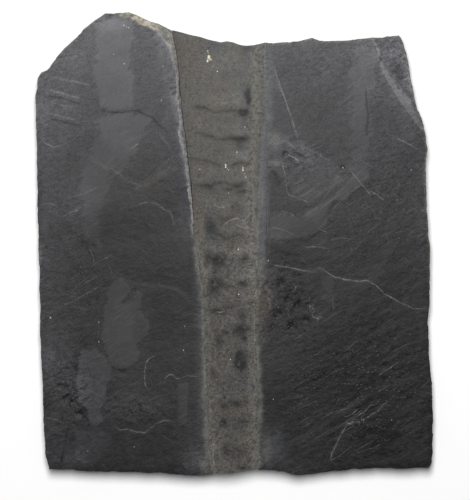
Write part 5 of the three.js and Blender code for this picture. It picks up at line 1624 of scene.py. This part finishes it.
# %% [markdown]
# ## Fossil shell
# The shell has turned to stone, but it stayed limy: an olive grey, warmer and duller than the slate.
# Its sutures hold dark mud, blue-black stains mark the chambers, and its east flank is a band of
# crumbled chalky beads. Two sizes of cloudy noise mix greenish and brownish greys, and a painted
# mask lays bluish grey over them.

# %% The shell's colours
SHELL_GREY, SHELL_GREEN = rgb(0.093, 0.089, 0.082), rgb(0.086, 0.086, 0.078)
SHELL_BROWN, SHELL_CHALK = rgb(0.088, 0.076, 0.066), rgb(0.114, 0.113, 0.105)
PALE_SHELL, CREAM = rgb(0.17, 0.166, 0.15), rgb(0.112, 0.105, 0.09)
LIGHT_CRUMB = rgb(0.142, 0.138, 0.12)
SHELL_BLUE, STAIN, GROOVE = rgb(0.062, 0.065, 0.069), rgb(0.012, 0.0135, 0.017), rgb(0.036, 0.034, 0.031)


def shell_material():
    """Limy fossil shell with dark sutures, stains and a crumbly flank."""
    material, tree, surface = new_material("fossil shell")
    clouds = placed(tree, GRAIN, Size=7.0, Stretch=1.5, Turn=8.0, Roughness=0.6, Shift=3.0)
    patchy = placed(tree, GRAIN, Size=3.2, Stretch=1.3, Turn=70.0, Roughness=0.65, Shift=23.0)
    fine = placed(tree, GRAIN, Size=0.7, Stretch=1.2, Turn=0.0, Roughness=0.8, Shift=60.0)
    beads = placed(tree, GRAIN, Size=1.0, Stretch=1.6, Turn=90.0, Roughness=0.5, Shift=11.0)
    flank = painted(tree, "flank")

    colour = tint(tree, spread(tree, clouds, 0.2, 0.8), SHELL_GREY, SHELL_GREEN)
    colour = tint(tree, spread(tree, patchy, 0.5, 0.85, 0, 0.7), colour, SHELL_BROWN)
    colour = tint(tree, painted(tree, "bluish"), colour, SHELL_BLUE)
    colour = tint(tree, painted(tree, "warm"), colour, SHELL_BROWN)
    colour = tint(tree, maths(tree, "MULTIPLY", painted(tree, "creamy"), 0.8), colour, CREAM)
    chalk = maths(tree, "MAXIMUM", painted(tree, "chalky"),
                  maths(tree, "MULTIPLY", spread(tree, beads, 0.5, 0.75), flank))
    colour = tint(tree, maths(tree, "MULTIPLY", chalk, 0.8), colour, SHELL_CHALK)
    frayed = placed(tree, GRAIN, Size=1.8, Stretch=1.2, Turn=40.0, Roughness=0.8, Shift=77.0)
    stained = maths(tree, "ADD", painted(tree, "stain"), spread(tree, frayed, 0, 1, -0.4, 0.4))
    colour = tint(tree, spread(tree, stained, 0.05, 1.15, 0, 0.92), colour, STAIN)
    suture = placed(tree, LINE_MARK, Distance=painted(tree, "suture"), Half_Width=painted(tree, "suture_width"),
                    Softness=0.9, Breaks=0.9, Wander=0.5, Beads=0.6)
    muddy = maths(tree, "MULTIPLY", painted(tree, "muddy"), spread(tree, frayed, 0.3, 0.75, 0.0, 0.95))
    colour = tint(tree, muddy, colour, GROOVE)
    colour = tint(tree, maths(tree, "MULTIPLY", suture, 0.8), colour, GROOVE)
    pale = placed(tree, LINE_MARK, Distance=painted(tree, "pale_line"),
                  Half_Width=painted(tree, "pale_line_width"), Softness=0.15, Breaks=0.7)
    colour = tint(tree, maths(tree, "MULTIPLY", pale, 0.7), colour, PALE_SHELL)

    southern = painted(tree, "southern")
    grainy = maths(tree, "ADD", spread(tree, fine, 0, 1, -0.6, 0.6), spread(tree, frayed, 0, 1, -0.4, 0.4))
    grainy = maths(tree, "MULTIPLY", grainy, spread(tree, southern, 0, 1, 0.9, 1.6))
    grainy = maths(tree, "MAXIMUM", maths(tree, "ADD", grainy, 1.0), 0.2)
    # Raised points are made paler, as worn edges, and dips darker: painted shade in the dips.
    wear_and_dip_shade = spread(tree, painted(tree, "raised"), -0.1, 0.1, 0.8, 1.2)
    wear_and_dip_shade = maths(tree, "MULTIPLY", wear_and_dip_shade, maths(tree, "POWER", 2.0, painted(tree, "tone")))
    colour = scaled_colour(tree, colour, maths(tree, "MULTIPLY", grainy, wear_and_dip_shade))
    crumbs = node(tree, "TexVoronoi", {"Vector": node(tree, "TexCoord").outputs["Object"], "Scale": 0.85 / MM,
                                       "Randomness": 1.0})
    crumb = node(tree, "SeparateColor", {0: crumbs.outputs["Color"]}).outputs[0]
    crumbly = maths(tree, "MAXIMUM", maths(tree, "MULTIPLY", flank, 0.9), maths(tree, "MULTIPLY", southern, 0.45))
    light_crumb = maths(tree, "MULTIPLY", spread(tree, crumb, 0.78, 0.95), crumbly)
    dark_crumb = maths(tree, "MULTIPLY", spread(tree, crumb, 0.2, 0.05), crumbly)
    colour = tint(tree, maths(tree, "MULTIPLY", light_crumb, 0.55), colour, LIGHT_CRUMB)
    colour = tint(tree, maths(tree, "MULTIPLY", dark_crumb, 0.6), colour, GROOVE)
    specks = placed(tree, SPECK, Offset=node(tree, "Attribute", attribute_name="speck").outputs["Vector"])
    colour = tint(tree, specks, colour, rgb(0.6, 0.56, 0.42))
    tree.links.new(colour, surface.inputs["Base Color"])

    tree.links.new(spread(tree, fine, 0, 1, 0.5, 0.65), surface.inputs["Roughness"])
    surface.inputs["Specular IOR Level"].default_value = 0.08
    height = maths(tree, "ADD", maths(tree, "MULTIPLY", fine, 0.5), maths(tree, "MULTIPLY", patchy, 0.8))
    height = maths(tree, "ADD", height, maths(tree, "MULTIPLY", maths(tree, "MULTIPLY", beads, flank), 1.5))
    bump = node(tree, "Bump", {"Height": height, "Strength": 1.0, "Distance": 0.08 * MM})
    tree.links.new(bump.outputs[0], surface.inputs["Normal"])
    return material


shell.data.materials.append(shell_material())

# %% [markdown]
# ## Floor and light
# One large soft lamp, an ellipse, hangs high above the plate, a little to its north and west. It is
# long from north to south, so the only shadow is a wide soft one along the south side. A dim pale
# sky fills the rest. The floor is plain and near white.

# %% Floor, lamp and world
LAMP_PLACE, LAMP_SIZE, LAMP_POWER = (-12, 138, 700), (190, 350), 5.75
SKY_STRENGTH = 0.16
FLOOR_HALF = 3000.0


def make_floor():
    """A plain pale floor, well larger than the picture."""
    mesh = bpy.data.meshes.new("floor")
    corners = [(-1, -1), (1, -1), (1, 1), (-1, 1)]
    mesh.from_pydata([(x * FLOOR_HALF * MM, y * FLOOR_HALF * MM, 0) for x, y in corners], [], [(0, 1, 2, 3)])
    floor = bpy.data.objects.new("floor", mesh)
    bpy.context.scene.collection.objects.link(floor)
    material, tree, surface = new_material("pale floor")
    surface.inputs["Base Color"].default_value = rgb(0.9, 0.9, 0.9)
    surface.inputs["Roughness"].default_value = 0.9
    mesh.materials.append(material)
    floor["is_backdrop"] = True


def make_light():
    """A soft elliptical lamp high above, and an even pale sky."""
    data = bpy.data.lights.new("soft lamp", "AREA")
    data.shape, data.size, data.size_y = "ELLIPSE", LAMP_SIZE[0] * MM, LAMP_SIZE[1] * MM
    data.energy = LAMP_POWER
    lamp = bpy.data.objects.new("soft lamp", data)
    lamp.location = [v * MM for v in LAMP_PLACE]
    lamp.rotation_euler = (-math.atan2(LAMP_PLACE[1], LAMP_PLACE[2]), 0, 0)
    bpy.context.scene.collection.objects.link(lamp)
    world = bpy.data.worlds.new("pale sky")
    bpy.context.scene.world = world
    world.use_nodes = True
    background = world.node_tree.nodes["Background"]
    background.inputs["Color"].default_value = rgb(1, 1, 1)
    background.inputs["Strength"].default_value = SKY_STRENGTH
    bpy.context.scene.view_settings.view_transform = "Standard"


make_floor()
make_light()

# %% [markdown]
# ## Hand-over
# Each fine piece stands for the solid of its name in the measured model and rides on its one body.
# The last lines compare the outer sizes of the measured and the fine model.

# %% Ride, replace, measure
for piece, solid, finish in ((plate, "slate_slab", "slate"), (shell, "orthoceras", "fossil_shell")):
    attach(piece, "root")
    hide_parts(solid)

fine_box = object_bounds()
for label, (low, high) in (("measured", cad_box), ("fine", fine_box)):
    print(label, "box:", [round(v / MM, 2) for v in low], [round(v / MM, 2) for v in high])
